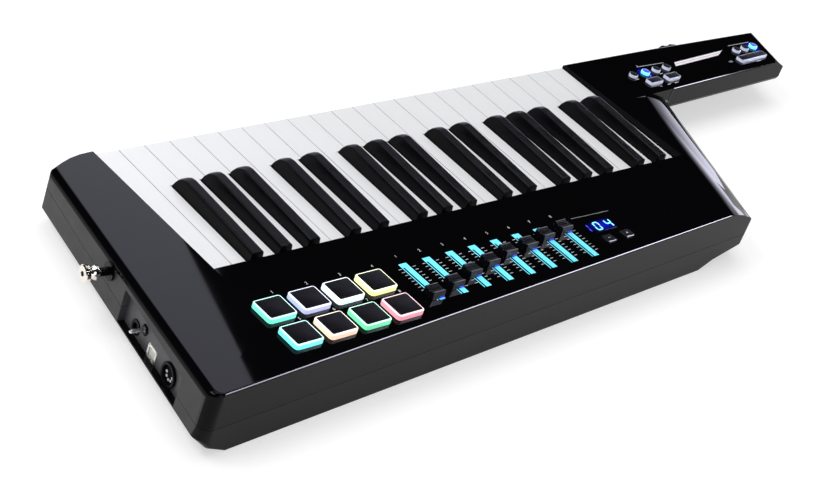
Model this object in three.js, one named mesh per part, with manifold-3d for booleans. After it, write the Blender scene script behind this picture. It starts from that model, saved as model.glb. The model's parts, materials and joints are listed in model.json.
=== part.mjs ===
// A strap-on keyboard: 37 keys, a control panel with pads and faders, and a short neck with its
// own buttons and a pitch wheel.
//
// Millimetres. X runs along the keys from the treble end to the neck, Y from the player's edge to
// the far edge, Z up. The sizes are measured from the treble end of the white keys (X), their
// rear ends (Y) and their tops (Z); the last lines move the whole to its own origin.

import * as THREE from 'three';
import { mergeVertices } from 'three/addons/utils/BufferGeometryUtils.js';
import Module from 'manifold-3d';

const wasm = await Module();
wasm.setup();

// General clearances and facets
const fitGap = 0.3;
const overrun = 4;
const leastRadius = 0.2;
const cornerSteps = 3;
const wideCornerSteps = 6;
const padCornerSteps = 2;
const roundSides = 16;
const pinSides = 12;
const postSides = 8;

// White keys
const whiteCount = 22;
const whitePitch = 23.5;
const keyGap = 1;
const stopGap = 1;
const whiteLength = 145;
const whiteLip = 12;
const whiteEdge = 1.6;
const keyDepth = 9;
const keyTopThick = 2;
const keyWall = 1.6;
const keyRear = 2;
const keyPocketRear = 3.2;
const keyDip = 9.9;

// Key tails and the bead that they rock on
const tailReach = 27;
const tailTop = 1.5;
const pivotBack = 22;
const pivotDrop = 7;
const pivotRadius = 2;

// Black keys
const blackWidth = 12.7;
const blackTopWidth = 9.2;
const blackRise = 11.8;
const blackRearRise = 8.3;
const blackRear = 3;
const blackFrontFall = 12;
const blackFrontRise = 1;
const bareWhiteLength = 52;
const blackShoulder = 2.2;
const blackPocketRise = 5;
const blackFrontSteps = 4;

// Plan of the casing
const leftFootX = 67;
const leftLeanShare = 0.168;
const playerLeftY = 124.6;
const playerRightY = 91.8;
const slantFrontX = 9;
const slantRootX = 83.5;
const neckRootWidth = 64.6;
const neckLength = 191;
const neckTipNearWidth = 56.1;
const neckTipSkew = 18.9;
const neckTipFarInset = 3.8;
const farBendX = 139;
const farBendInset = 0.8;
const cheekRun = 24.64;
const cheekFarInset = 12.6;
const nearLeftRadius = 9;
const nearRightRadius = 4;
const rootRadius = 10;
const tipRadius = 5;
const cheekBulgeRadius = 70;
const cheekCornerRadius = 2;
const bendRadius = 60;
const neckStart = 25;
const neckInnerStart = 50;

// Heights of the casing
const panelRise = 7.8;
const panelSlopeShare = 0.027;
const seamDrop = 16.4;
const seamSlopeShare = 0.03;
const wallFootDrop = 30;
const slantFootDrop = 27.8;
const neckDrop = 18.8;
const bellyDrop = 44;
const wall = 2.5;

// How far the top edge of each wall rolls over, and the falling face at the neck's tip
const leftRoll = 6;
const edgeRoll = 1.8;
const rollSteps = 4;
const tipFallWidth = 15.5;
const tipFallDepth = 9;

// The falling end beside the neck: where its roll starts, creases and meets the wall
const rollStartFront = 46;
const rollStartRoot = 52;
const creaseFront = 11;
const creaseRoot = 35;
const creaseDropFront = 8;
const creaseDropRoot = 0.8;
const rollFootFront = 5.8;
const rollFootRoot = 8;
const rollBulgeShares = [[0.3, 0.09], [0.55, 0.28], [0.8, 0.6]];
const fallRows = 6;
const bandBulgeShares = [[0.4, 0.18], [0.75, 0.5]];

// Underside: how far each ramp runs in from its wall to the flat belly
const leftRamp = 27;
const rightRamp = 48;
const farRamp = 43;
const rampMidShares = {
  player: [0.5, 0.5],
  slant: [0.68, 0.55],
  far: [0.5, 0.5],
  cheek: [0.5, 0.5],
  left: [0.34, 0.56],
};
const underRoll = 4;

// Key well and the ledge in front of the panel
const wellGap = 0.5;
const ledgeNear = 6.7;
const ledgeFar = 17;
const ledgeRise = 6.1;
const ledgeThick = 2.6;

// Keybed frame
const frameFloorDrop = 30;
const frameThick = 2.5;
const frameNear = 33;
const frameFarInset = 17;
const frameEndGap = 3;
const pivotWebThick = 3;
const stopRailDepth = 10;
const whiteStopInset = 21;
const blackStopInset = 5;
const frameRibThick = 2.4;
const frameRibHeight = 7;
const frameRibCount = 7;
const frameSeatShares = [0.02, 0.35, 0.683];
const frameSeatWidth = 8.5;
const frameSeatLength = 8.2;

// Pads
const padColumnsX = 10.6;
const padPitchX = 31.6;
const padRowBack = 46.2;
const padPitchY = 30;
const padColumns = 4;
const padRows = 2;
const padWidth = 24.8;
const padLength = 22;
const padRise = 4;
const padRadius = 2.5;
const padBevel = 0.8;
const matThick = 1.6;
const matMargin = 5;

// Faders
const faderCount = 8;
const faderFirstX = 141.3;
const faderPitch = 24.1;
const faderTravel = 30;
const faderNearBack = 71.5;
const slotWidth = 1.6;
const slotSpare = 2;
const stemWidth = 0.9;
const stemLength = 4;
const stemDrop = 7;
const capWidth = 12;
const capLength = 11;
const capRise = 6.5;
const capDish = 0.9;
const capDraft = 0.6;
const capLine = 0.8;
const faderRestShares = [0, 0.14, 0.35, 0.52, 0.69, 0.74, 0.9, 1];

// Push buttons
const panelButtonRise = 1.3;
const neckButtonRise = 2.6;
const buttonRadius = 1.5;
const buttonBevel = 0.6;
const flangeMargin = 1.5;
const flangeThick = 1.8;
const panelButtonCount = 2;
const panelButtonWidth = 11;
const panelButtonLength = 9;
const panelButtonX = 342.3;
const panelButtonPitch = 21.7;
const panelButtonBack = 64.4;
const neckButtonWidth = 18;
const neckButtonLength = 8.4;
const tipButtonWidth = 42;
const neckButtonIn = 15.2;
const rootButtonX = -7.4;
const rootButtonPitch = 26.9;
const tipButtonInset = 42.4;
const domeRadius = 4.2;
const domeRise = 2.6;
const domeBevel = 0.7;
const domeIn = 29.8;
const rootDomePlaces = [-21.5, -3.4, 12.6, 28.6];
const tipDomeInsets = [49, 35, 21];

// Pitch wheel
const wheelRadius = 26;
const wheelThick = 12;
const wheelX = 73.5;
const wheelOut = 7.5;
const wheelTopDrop = 1;
const wheelAxleRadius = 3;
const wheelNotchRadius = 9;
const wheelNotchDepth = 3.2;
const wheelCrown = 1;
const wheelRimThick = 5;
const wheelWeb = 5;
const wheelHubRadius = 7;
const wheelSides = 28;
const wheelGap = 0.6;

// Connector niche in the treble end
const nicheFarY = 1.5;
const nicheNearY = 87;
const nicheTopFarDrop = 1.5;
const nicheTopNearDrop = 4;
const nicheFloorDrop = 29;
const nicheDepth = 5.5;
const plateThick = 2;
const jackY = 14.5;
const jackDrop = 21.8;
const jackRadius = 4.5;
const toggleY = 25.7;
const toggleDrop = 15.1;
const toggleBoreRadius = 3.3;
const usbY = 40.6;
const usbDrop = 23.6;
const usbWidth = 12;
const usbHeight = 10.4;
const usbTongueWidth = 5.6;
const usbTongueHeight = 3.2;
const usbCornerRadius = 0.8;
const dinY = 66.2;
const dinDrop = 20.2;
const dinRadius = 8.4;
const dinDepth = 4.5;
const socketDepth = 9;

// Power toggle
const leverRadius = 1.1;
const leverTipRadius = 1.7;
const leverReach = 12;
const leverBallRadius = 2.9;
const leverBack = 4;

// Strap peg
const pegY = 25.5;
const pegDrop = 4.5;
const washerRadius = 6.9;
const washerThick = 1.6;
const pegNeckRadius = 3.2;
const pegRingRadius = 5.4;
const pegHeadRadius = 6.6;
const pegHeadEdge = 0.8;
const pegReach = 21;
const pegHeadThick = 3.6;
const pegShankRadius = 2;

// Battery bay and its door
const bayX = 150;
const bayNearY = 96;
const bayWidth = 122;
const bayLength = 56;
const bayDepth = 19;
const doorThick = 2.6;
const doorMargin = 4;
const doorRadius = 4;
const doorTabWidth = 14;
const doorTabReach = 3;
const doorTabRise = 5.2;

// Screw posts between the two shells
const postRadius = 4;
const screwHeadRadius = 3.2;
const screwHeadDepth = 9;
const postInset = 8.5;
const frontPostShares = [0.045, 0.357, 0.62, 0.84];
const cheekPostRun = 18;
const bodyPostRun = 34;
const bodyPostInset = 17;
const neckPostShare = 0.42;
const tipPostShare = 0.86;
const tipPostInset = 12.75;

// Places that follow from the sizes above
const keysWidth = whiteCount * whitePitch;
const blackFront = whiteLength - bareWhiteLength;
const blackTopFront = blackFront - blackFrontFall;
const frameFar = whiteLength - frameFarInset;
const whiteStopFar = whiteLength - whiteStopInset;
const blackStopFar = blackFront - blackStopInset;
const rootX = keysWidth + slantRootX;
const rootY = whiteLength - neckRootWidth;
const tipNearX = rootX + neckLength;
const tipNearY = whiteLength - neckTipNearWidth;
const wheelCentreY = whiteLength + wheelOut - wheelRadius;
const tipButtonX = neckLength - tipButtonInset;
const tipDomePlaces = tipDomeInsets.map((inset) => neckLength - inset);
const dipSlope = keyDip / (whiteLength + pivotBack);
const neckLean = Math.atan2(tipNearY - rootY, neckLength);
const leftX = (y) => leftLeanShare * y - leftFootX;
const playerLine = (x) => {
  const leftEnd = leftX(-playerLeftY);
  const share = (x - leftEnd) / (keysWidth + slantFrontX - leftEnd);
  return THREE.MathUtils.lerp(-playerLeftY, -playerRightY, share);
};
const neckFrontLine = (x) => rootY + (x - rootX) * Math.tan(neckLean);
const topAt = (y) => panelRise - panelSlopeShare * (y + ledgeFar);
const seamAt = (y) => seamSlopeShare * y - seamDrop;

// Solids

// Make a closed three.js geometry into a solid that can be joined and cut.
function solidOf(geometry) {
  const bare = geometry.clone();
  bare.deleteAttribute('normal');
  bare.deleteAttribute('uv');
  const merged = mergeVertices(bare);
  const places = merged.attributes.position.array;
  const corners = merged.index.array;
  const kept = [];
  let volume = 0;
  for (let i = 0; i < corners.length; i += 3) {
    const [a, b, c] = [corners[i], corners[i + 1], corners[i + 2]];
    if (a === b || b === c || c === a) continue;
    kept.push(a, b, c);
    const [p, q, r] = [a, b, c].map((v) => new THREE.Vector3().fromArray(places, v * 3));
    volume += p.dot(q.cross(r));
  }
  if (volume < 0) kept.reverse();
  return new wasm.Manifold(new wasm.Mesh({
    numProp: 3,
    vertProperties: new Float32Array(places),
    triVerts: new Uint32Array(kept),
  }));
}

// Turn a finished solid into a geometry with flat faces.
function geometryOf(solid) {
  const mesh = solid.getMesh();
  const geometry = new THREE.BufferGeometry();
  geometry.setAttribute('position', new THREE.BufferAttribute(mesh.vertProperties, 3));
  geometry.setIndex(new THREE.BufferAttribute(mesh.triVerts, 1));
  const flat = geometry.toNonIndexed();
  flat.computeVertexNormals();
  return flat;
}

const joined = (solids) => solids.reduce((whole, solid) => whole.add(solid));
const cutFrom = (solid, cutters) => cutters.reduce((left, cutter) => left.subtract(cutter), solid);

// A box between two values on each axis.
function box(x, y, z) {
  const geometry = new THREE.BoxGeometry(x[1] - x[0], y[1] - y[0], z[1] - z[0]);
  geometry.translate((x[0] + x[1]) / 2, (y[0] + y[1]) / 2, (z[0] + z[1]) / 2);
  return solidOf(geometry);
}

// The points of an arc about a centre, from one angle to another.
function arc(x, y, radius, from, to, steps) {
  return Array.from({ length: steps + 1 }, (_, step) => {
    const angle = THREE.MathUtils.lerp(from, to, step / steps);
    return new THREE.Vector2(x + radius * Math.cos(angle), y + radius * Math.sin(angle));
  });
}
const circle = (x, y, radius, sides) => arc(x, y, radius, 0, Math.PI * 2, sides).slice(1);
const point = (x, y) => new THREE.Vector2(x, y);

// A plan outline pulled up from one height to another.
function upright(outline, low, high) {
  const geometry = new THREE.ExtrudeGeometry(new THREE.Shape(outline), {
    depth: high - low,
    bevelEnabled: false,
  });
  geometry.translate(0, 0, low);
  return solidOf(geometry);
}

// A side profile, drawn in Y and Z, pulled along X.
function crosswise(outline, low, high) {
  const geometry = new THREE.ExtrudeGeometry(new THREE.Shape(outline), {
    depth: high - low,
    bevelEnabled: false,
  });
  const turn = new THREE.Matrix4().makeBasis(
    new THREE.Vector3(0, 1, 0),
    new THREE.Vector3(0, 0, 1),
    new THREE.Vector3(1, 0, 0),
  );
  geometry.applyMatrix4(turn);
  geometry.translate(low, 0, 0);
  return solidOf(geometry);
}

// A profile of radius and height turned about Z.
function turned(profile, sides) {
  const points = profile.map(([radius, height]) => new THREE.Vector2(radius, height));
  const geometry = new THREE.LatheGeometry(points, sides);
  geometry.rotateX(Math.PI / 2);
  return solidOf(geometry);
}

// An upright round pin or bore.
const drum = (radius, low, high, sides) => (
  turned([[0, low], [radius, low], [radius, high], [0, high]], sides)
);

// Carry a solid into the frame of a matrix.
function placed(solid, matrix) {
  const geometry = geometryOf(solid);
  geometry.applyMatrix4(matrix);
  return solidOf(geometry);
}

const shifted = (solid, x, y, z) => solid.translate([x, y, z]);

// A rectangle with round corners about the origin.
function roundedRectangle(width, length, radius) {
  const x = width / 2 - radius;
  const y = length / 2 - radius;
  const quarter = Math.PI / 2;
  return [[x, y], [-x, y], [-x, -y], [x, -y]].flatMap(([centreX, centreY], i) => (
    arc(centreX, centreY, radius, quarter * i, quarter * (i + 1), padCornerSteps)
  ));
}

// An outline lifted to a height, as one ring of a loft.
const lifted = (outline, height) => outline.map(({ x, y }) => new THREE.Vector3(x, y, height));

// The triangles that close a ring of points, facing along the ring's own normal.
function capFaces(ring) {
  const normal = new THREE.Vector3();
  ring.forEach((place, i) => {
    const next = ring[(i + 1) % ring.length];
    normal.add(new THREE.Vector3().crossVectors(place, next));
  });
  const size = normal.toArray().map(Math.abs);
  const dropped = size.indexOf(Math.max(...size));
  const [u, v] = [0, 1, 2].filter((axis) => axis !== dropped);
  const flat = ring.map((place) => new THREE.Vector2(place.getComponent(u), place.getComponent(v)));
  return THREE.ShapeUtils.triangulateShape(flat, []).map(([a, b, c]) => {
    const edge = new THREE.Vector3().subVectors(ring[b], ring[a]);
    const face = edge.cross(new THREE.Vector3().subVectors(ring[c], ring[a]));
    return face.dot(normal) < 0 ? [a, c, b] : [a, b, c];
  });
}

// A skin through rings of as many points each, closed by a cap at either end.
function loft(rings) {
  const count = rings[0].length;
  const faces = [];
  rings.slice(1).forEach((_, level) => {
    for (let i = 0; i < count; i += 1) {
      const a = level * count + i;
      const b = level * count + ((i + 1) % count);
      faces.push([a, b, b + count], [a, b + count, a + count]);
    }
  });
  const last = (rings.length - 1) * count;
  capFaces(rings[0]).forEach(([a, b, c]) => faces.push([a, c, b]));
  capFaces(rings.at(-1)).forEach((face) => faces.push(face.map((place) => place + last)));
  const geometry = new THREE.BufferGeometry();
  const places = rings.flat().flatMap((place) => place.toArray());
  geometry.setAttribute('position', new THREE.Float32BufferAttribute(places, 3));
  geometry.setIndex(faces.flat());
  return solidOf(geometry);
}

// One ring of a casing: the plan drawn in by its walls' own insets, with round corners, at a
// height that can follow a blend of the two walls' values.
function planRing(plan, insetOf, heightOf) {
  return plan.flatMap((corner, i) => {
    const before = plan[(i + plan.length - 1) % plan.length];
    const after = plan[(i + 1) % plan.length];
    const arriving = new THREE.Vector2(corner.x - before.x, corner.y - before.y).normalize();
    const leaving = new THREE.Vector2(after.x - corner.x, after.y - corner.y).normalize();
    const sine = arriving.cross(leaving);
    const turn = Math.atan2(sine, arriving.dot(leaving));
    const inset = [insetOf(before.side), insetOf(corner.side)];
    const tip = new THREE.Vector2(corner.x, corner.y);
    tip.addScaledVector(leaving, inset[0] / sine).addScaledVector(arriving, -inset[1] / sine);
    const mean = (inset[0] + inset[1]) / 2;
    const radius = Math.max(corner.radius - Math.sign(turn) * mean, leastRadius);
    const start = tip.addScaledVector(arriving, -radius * Math.tan(Math.abs(turn) / 2));
    const inward = new THREE.Vector2(-arriving.y, arriving.x).multiplyScalar(Math.sign(turn));
    const steps = corner.steps;
    return Array.from({ length: steps + 1 }, (_, step) => {
      const angle = Math.abs(turn) * (step / steps);
      const place = start.clone()
        .addScaledVector(arriving, radius * Math.sin(angle))
        .addScaledVector(inward, radius * (1 - Math.cos(angle)));
      const height = heightOf(place.y, before.side, corner.side, step / steps);
      return new THREE.Vector3(place.x, place.y, height);
    });
  });
}

// Casing plan

// A corner of an outline, with the name of the side that leaves it.
const corner = (x, y, radius, side, steps = cornerSteps) => ({ x, y, radius, side, steps });

// The whole outline with the neck, seen from above and listed counter-clockwise.
const fullPlan = [
  corner(leftX(-playerLeftY), -playerLeftY, nearLeftRadius, 'player', wideCornerSteps),
  corner(keysWidth + slantFrontX, -playerRightY, nearRightRadius, 'slant'),
  corner(rootX, rootY, rootRadius, 'neckFront', wideCornerSteps),
  corner(tipNearX, tipNearY, tipRadius, 'tip'),
  corner(tipNearX + neckTipSkew, whiteLength - neckTipFarInset, tipRadius, 'neckFar'),
  corner(keysWidth + farBendX, whiteLength - farBendInset, bendRadius, 'far'),
  corner(leftX(whiteLength) + cheekRun, whiteLength, cheekBulgeRadius, 'cheek'),
  corner(leftX(whiteLength - cheekFarInset), whiteLength - cheekFarInset, cheekCornerRadius, 'left'),
];

// The body alone: the slanted wall runs on under the neck to the far edge.
const slantLeanShare = (slantRootX - slantFrontX) / (playerRightY + rootY);
const bodyFarX = rootX + slantLeanShare * neckRootWidth;
const bodyPlan = [
  fullPlan[0],
  fullPlan[1],
  corner(bodyFarX, whiteLength - farBendInset, nearRightRadius, 'far'),
  fullPlan[6],
  fullPlan[7],
];

// The radius of the roll along the top edge of each wall.
const topRolls = {
  player: edgeRoll,
  slant: 0,
  neckFront: edgeRoll,
  tip: edgeRoll,
  neckFar: edgeRoll,
  far: edgeRoll,
  cheek: edgeRoll,
  left: leftRoll,
};

// The upper casing as a block, drawn in and lowered by a skin's thickness.
function crown(skin, foot) {
  const rings = [planRing(fullPlan, () => skin, foot)];
  for (let step = 0; step <= rollSteps; step += 1) {
    const angle = (Math.PI / 2) * (step / rollSteps);
    const insetOf = (side) => skin + topRolls[side] * (1 - Math.cos(angle));
    const heightOf = (y, from, to, share) => {
      const roll = THREE.MathUtils.lerp(topRolls[from], topRolls[to], share);
      return topAt(y) - skin - roll * (1 - Math.sin(angle));
    };
    rings.push(planRing(fullPlan, insetOf, heightOf));
  }
  return loft(rings);
}

// The space above the falling end beside the neck: one profile at the player's edge, one along
// the neck's front wall, and a ruled skin between them.
function fallingEnd(skin) {
  const station = (edgeX, startIn, creaseIn, creaseDrop, footDrop, lineY) => {
    const start = [edgeX - startIn, 0];
    const crease = [edgeX - creaseIn, creaseDrop];
    const at = (from, to, [run, fall]) => [
      THREE.MathUtils.lerp(from[0], to[0], run),
      THREE.MathUtils.lerp(from[1], to[1], fall),
    ];
    const place = ([x, drop]) => {
      const y = lineY(x);
      return new THREE.Vector3(x - skin, y, topAt(y) - drop - skin);
    };
    const foot = [edgeX, topAt(lineY(edgeX)) + footDrop];
    const profile = [
      start,
      ...rollBulgeShares.map((shares) => at(start, crease, shares)),
      crease,
      ...bandBulgeShares.map((shares) => at(crease, foot, shares)),
      foot,
    ];
    const beyond = [foot[0] + overrun + skin, foot[1]];
    return [...profile, beyond, [beyond[0], -overrun], [start[0], -overrun]].map(place);
  };
  const playerY = (x) => playerLine(x) - overrun;
  const rootLine = (x) => neckFrontLine(x) + skin;
  const frontX = keysWidth + slantFrontX - slantLeanShare * overrun;
  const front = station(frontX, rollStartFront, creaseFront, creaseDropFront, rollFootFront, playerY);
  const root = station(rootX, rollStartRoot, creaseRoot, creaseDropRoot, rollFootRoot, rootLine);
  return loft(Array.from({ length: fallRows + 1 }, (_, row) => (
    front.map((place, i) => place.clone().lerp(root[i], row / fallRows))
  )));
}

// The space above the falling tip of the neck: a flat face from a crease in the top to the wall.
function fallingTip(skin) {
  const near = new THREE.Vector3(tipNearX, tipNearY, 0);
  const far = new THREE.Vector3(tipNearX + neckTipSkew, whiteLength - neckTipFarInset, 0);
  const along = far.clone().sub(near).normalize();
  const inward = new THREE.Vector3(-along.y, along.x, 0);
  const fall = tipFallDepth / tipFallWidth;
  const station = (end, reach) => [
    [tipFallWidth + overrun / fall, -overrun],
    [-overrun, tipFallDepth + overrun * fall],
    [-overrun, -overrun],
  ].map(([inset, drop]) => {
    const place = end.clone().addScaledVector(along, reach).addScaledVector(inward, inset + skin);
    return place.setZ(topAt(place.y) - drop - skin);
  });
  return loft([station(near, -tipFallWidth), station(far, overrun)]);
}

// The lower casing as a block: the wall foot of each side, then the ramps in to the flat belly.
const ramps = { player: 0, slant: rightRamp, far: farRamp, cheek: farRamp, left: leftRamp };
const feet = {
  player: wallFootDrop,
  slant: slantFootDrop,
  far: wallFootDrop,
  cheek: wallFootDrop,
  left: wallFootDrop,
};
function hull(skin, topOf) {
  const belly = skin - bellyDrop;
  const level = (runShare, fallShare) => planRing(
    bodyPlan,
    (side) => skin + ramps[side] * runShare(side),
    (y, from, to, share) => {
      const foot = skin - THREE.MathUtils.lerp(feet[from], feet[to], share);
      const fall = THREE.MathUtils.lerp(fallShare(from), fallShare(to), share);
      return THREE.MathUtils.lerp(foot, belly, fall);
    },
  );
  const rings = [
    level(() => 1, () => 1),
    level((side) => rampMidShares[side][0], (side) => rampMidShares[side][1]),
    level(() => 0, () => 0),
    planRing(bodyPlan, () => skin, topOf),
  ];
  return loft(rings);
}

// The neck alone: it starts inside the body and keeps the rounded root corner.
const neckPlan = [
  corner(rootX - slantLeanShare * neckStart, rootY - neckStart, leastRadius, 'slant'),
  fullPlan[2],
  fullPlan[3],
  fullPlan[4],
  fullPlan[5],
  corner(rootX - neckInnerStart, whiteLength - farBendInset, leastRadius, 'inner'),
];

// The lower half of the neck as a block, with its under-edges rolled.
const underRolls = { neckFront: underRoll, tip: underRoll, neckFar: underRoll, far: underRoll };
function neckBlock(skin, topOf) {
  const inset = (share) => (side) => skin + (underRolls[side] ?? 0) * share;
  const rollHeight = (share) => (y, from, to, along) => {
    const depth = THREE.MathUtils.lerp(underRolls[from] ?? 0, underRolls[to] ?? 0, along);
    return skin - neckDrop + depth * share;
  };
  const half = Math.PI / 4;
  return loft([
    planRing(neckPlan, inset(1), rollHeight(0)),
    planRing(neckPlan, inset(1 - Math.sin(half)), rollHeight(1 - Math.cos(half))),
    planRing(neckPlan, inset(0), rollHeight(1)),
    planRing(neckPlan, () => skin, topOf),
  ]);
}

// Frames that carry the controls

// The panel: its origin lies on the panel's near ledge edge above the treble end of the keys.
const panel = new THREE.Group();
panel.position.set(0, -ledgeFar, panelRise);
panel.rotation.x = -Math.atan(panelSlopeShare);

// The neck top: its origin lies over the root corner, X along the neck's front wall.
const neckTop = new THREE.Group();
neckTop.position.set(rootX, rootY + ledgeFar, 0);
neckTop.rotation.z = neckLean;
panel.add(neckTop);

// The treble end wall: X up the wall's length, Y up, Z into the casing.
const endWall = new THREE.Group();
const wallRun = new THREE.Vector3(leftLeanShare, 1, 0).normalize();
const wallIn = new THREE.Vector3(wallRun.y, -wallRun.x, 0);
endWall.applyMatrix4(new THREE.Matrix4().makeBasis(wallRun, new THREE.Vector3(0, 0, 1), wallIn));
endWall.position.set(-leftFootX, 0, 0);
const alongWall = (y) => y / wallRun.y;

const body = new THREE.Group();
body.add(panel, endWall);
body.updateMatrixWorld(true);

// Round places for screw posts, well inside the walls.
const neckPostX = rootX + neckPostShare * neckLength;
const postPlaces = [
  ...frontPostShares.map((share) => {
    const x = THREE.MathUtils.lerp(leftX(-playerLeftY), keysWidth + slantFrontX, share);
    return [x, playerLine(x) + postInset];
  }),
  [leftX(whiteLength) + cheekPostRun, whiteLength - cheekFarInset - postInset],
  [rootX - bodyPostRun, whiteLength - bodyPostInset],
  [neckPostX, neckFrontLine(neckPostX) + postInset],
  [rootX + tipPostShare * neckLength, whiteLength - tipPostInset],
];

const screwPosts = () => postPlaces.map(([x, y]) => (
  shifted(drum(postRadius, -bellyDrop - overrun, panelRise + overrun, postSides), x, y, 0)
));

// Materials

const finish = (color, roughness, metalness = 0) => (
  new THREE.MeshStandardMaterial({ color, roughness, metalness })
);
const glossBlack = finish(0x0b0b0e, 0.12);
const satinBlack = finish(0x1c1c22, 0.45);
const ivoryWhite = finish(0xe9eaec, 0.3);
const frameGrey = finish(0x3c3d42, 0.7);
const silicone = finish(0xcfd0e8, 0.5);
const padBlack = finish(0x202026, 0.6);
const chrome = finish(0xd8d9db, 0.12, 1);

// Put a finished solid under its name in the group that carries it.
function addPiece(group, name, solid, material) {
  const mesh = new THREE.Mesh(geometryOf(solid), material);
  mesh.name = name;
  group.add(mesh);
  return mesh;
}

// Keys

// White keys run down from the treble end; the letter after a seam says which black key it has.
const letters = ['C', 'B', 'A', 'G', 'F', 'E', 'D'];
const blackShiftShares = { A: -0.149, G: 0, F: 0.149, D: -0.106, C: 0.106 };

// The middle of the black key at a seam, or nothing where two white keys meet bare.
function blackCentre(seam) {
  const letter = letters[seam % letters.length];
  const isInside = seam > 0 && seam < whiteCount;
  if (!isInside || !(letter in blackShiftShares)) return null;
  return seam * whitePitch + blackShiftShares[letter] * whitePitch;
}

// The groove under a tail that rides on the frame's bead.
const tailGroove = (left, right) => crosswise(
  circle(-pivotBack, -pivotDrop, pivotRadius + fitGap, pinSides),
  left - overrun,
  right + overrun,
);

function whiteKey(index) {
  const left = index * whitePitch + keyGap / 2;
  const right = (index + 1) * whitePitch - keyGap / 2;
  const lipBack = whiteLength - keyWall;
  const profile = [
    point(-tailReach, -pivotDrop),
    point(0, -pivotDrop),
    point(keyWall, -keyDepth),
    point(lipBack, -keyDepth),
    point(lipBack, -whiteLip),
    point(whiteLength, -whiteLip),
    ...arc(whiteLength - whiteEdge, -whiteEdge, whiteEdge, 0, Math.PI / 2, cornerSteps),
    point(-keyRear, 0),
    point(-keyRear, -tailTop),
    point(-tailReach, -tailTop),
  ];
  const pocket = [
    point(keyPocketRear, -whiteLip - overrun),
    point(lipBack, -whiteLip - overrun),
    point(lipBack, -keyTopThick),
    point(keyPocketRear, -keyTopThick),
  ];
  let outer = crosswise(profile, left, right);
  let inner = crosswise(pocket, left + keyWall, right - keyWall);
  const beside = (edge, inward, seam) => {
    const centre = blackCentre(seam);
    if (centre === null) return;
    const face = centre + inward * (blackWidth / 2 + keyGap);
    const outside = edge - inward * overrun;
    const cut = (reach) => box(
      [outside, face + inward * reach].sort((a, b) => a - b),
      [-tailReach - overrun, blackFront + keyGap + reach],
      [-whiteLip - overrun, overrun],
    );
    outer = outer.subtract(cut(0));
    inner = inner.subtract(cut(keyWall));
  };
  beside(left, 1, index);
  beside(right, -1, index + 1);
  return cutFrom(outer, [inner, tailGroove(left, right)]);
}

function blackKey(centre) {
  const half = blackWidth / 2;
  const taper = (blackWidth - blackTopWidth) / 2 / blackRise;
  const station = (y, rise) => {
    const shoulder = Math.min(blackShoulder, rise / 2);
    const side = half - taper * (rise - shoulder);
    const right = [
      [half, -keyDepth],
      [half, 0],
      [side, rise - shoulder],
      [side - shoulder * (1 - Math.SQRT1_2), rise - shoulder * (1 - Math.SQRT1_2)],
      [side - shoulder, rise],
    ];
    const left = right.map(([x, z]) => [-x, z]).reverse();
    return [...right, ...left].map(([x, z]) => new THREE.Vector3(centre + x, y, z));
  };
  const stations = [station(-blackRear, blackRearRise)];
  for (let step = 0; step < blackFrontSteps; step += 1) {
    const angle = (Math.PI / 2) * (step / blackFrontSteps);
    const y = THREE.MathUtils.lerp(blackTopFront, blackFront, Math.sin(angle));
    stations.push(station(y, blackRise * Math.cos(angle)));
  }
  stations.push(station(blackFront, blackFrontRise));
  const tail = box(
    [centre - half + keyWall, centre + half - keyWall],
    [-tailReach, 0],
    [-pivotDrop, -tailTop],
  );
  const pocket = box(
    [centre - half + keyWall, centre + half - keyWall],
    [keyWall, blackTopFront],
    [-keyDepth - overrun, blackPocketRise],
  );
  return cutFrom(loft(stations).add(tail), [pocket, tailGroove(centre - half, centre + half)]);
}

function addKeys() {
  for (let index = 0; index < whiteCount; index += 1) {
    addPiece(body, `white_key_${String(index + 1).padStart(2, '0')}`, whiteKey(index), ivoryWhite);
  }
  let number = 0;
  for (let seam = 0; seam < whiteCount; seam += 1) {
    const centre = blackCentre(seam);
    if (centre === null) continue;
    number += 1;
    addPiece(body, `black_key_${String(number).padStart(2, '0')}`, blackKey(centre), satinBlack);
  }
}

// The frame under the keys: a floor, the web and bead that the keys rock on, the two rails that
// stop them, and ribs between.
function keybedFrame() {
  const ends = [frameEndGap, keysWidth - frameEndGap];
  const floorTop = frameThick - frameFloorDrop;
  const bead = circle(-pivotBack, -pivotDrop, pivotRadius, pinSides);
  const webFaces = [-pivotBack - pivotWebThick / 2, -pivotBack + pivotWebThick / 2];
  const stopRail = (farY) => {
    const top = -keyDepth - (farY + pivotBack) * dipSlope - stopGap;
    return box(ends, [farY - stopRailDepth, farY], [-frameFloorDrop, top]);
  };
  const ribs = Array.from({ length: frameRibCount }, (_, i) => {
    const x = THREE.MathUtils.lerp(ends[0], ends[1] - frameRibThick, i / (frameRibCount - 1));
    const height = [-frameFloorDrop, floorTop + frameRibHeight];
    return box([x, x + frameRibThick], [-frameNear, whiteStopFar], height);
  });
  return joined([
    box(ends, [-frameNear, frameFar], [-frameFloorDrop, floorTop]),
    crosswise(bead, ends[0], ends[1]),
    box(ends, webFaces, [-frameFloorDrop, -pivotDrop]),
    stopRail(whiteStopFar),
    stopRail(blackStopFar),
    ...ribs,
  ]);
}

// Controls on the panel and the neck

// A push button: a cap through the panel and a flange that the panel holds down.
function pushButton(width, length, rise) {
  const under = -wall - fitGap;
  const ring = (inset, height) => lifted(
    roundedRectangle(width - inset * 2, length - inset * 2, buttonRadius - inset),
    height,
  );
  const flange = roundedRectangle(width + flangeMargin * 2, length + flangeMargin * 2, buttonRadius);
  return loft([
    ring(0, under - flangeThick),
    ring(0, rise - buttonBevel),
    ring(buttonBevel, rise),
  ]).add(upright(flange, under - flangeThick, under));
}

// The hole that a push button's cap moves in.
const buttonWindow = (width, length) => upright(
  roundedRectangle(width + fitGap * 2, length + fitGap * 2, buttonRadius + fitGap),
  -wall - overrun,
  overrun,
);

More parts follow.
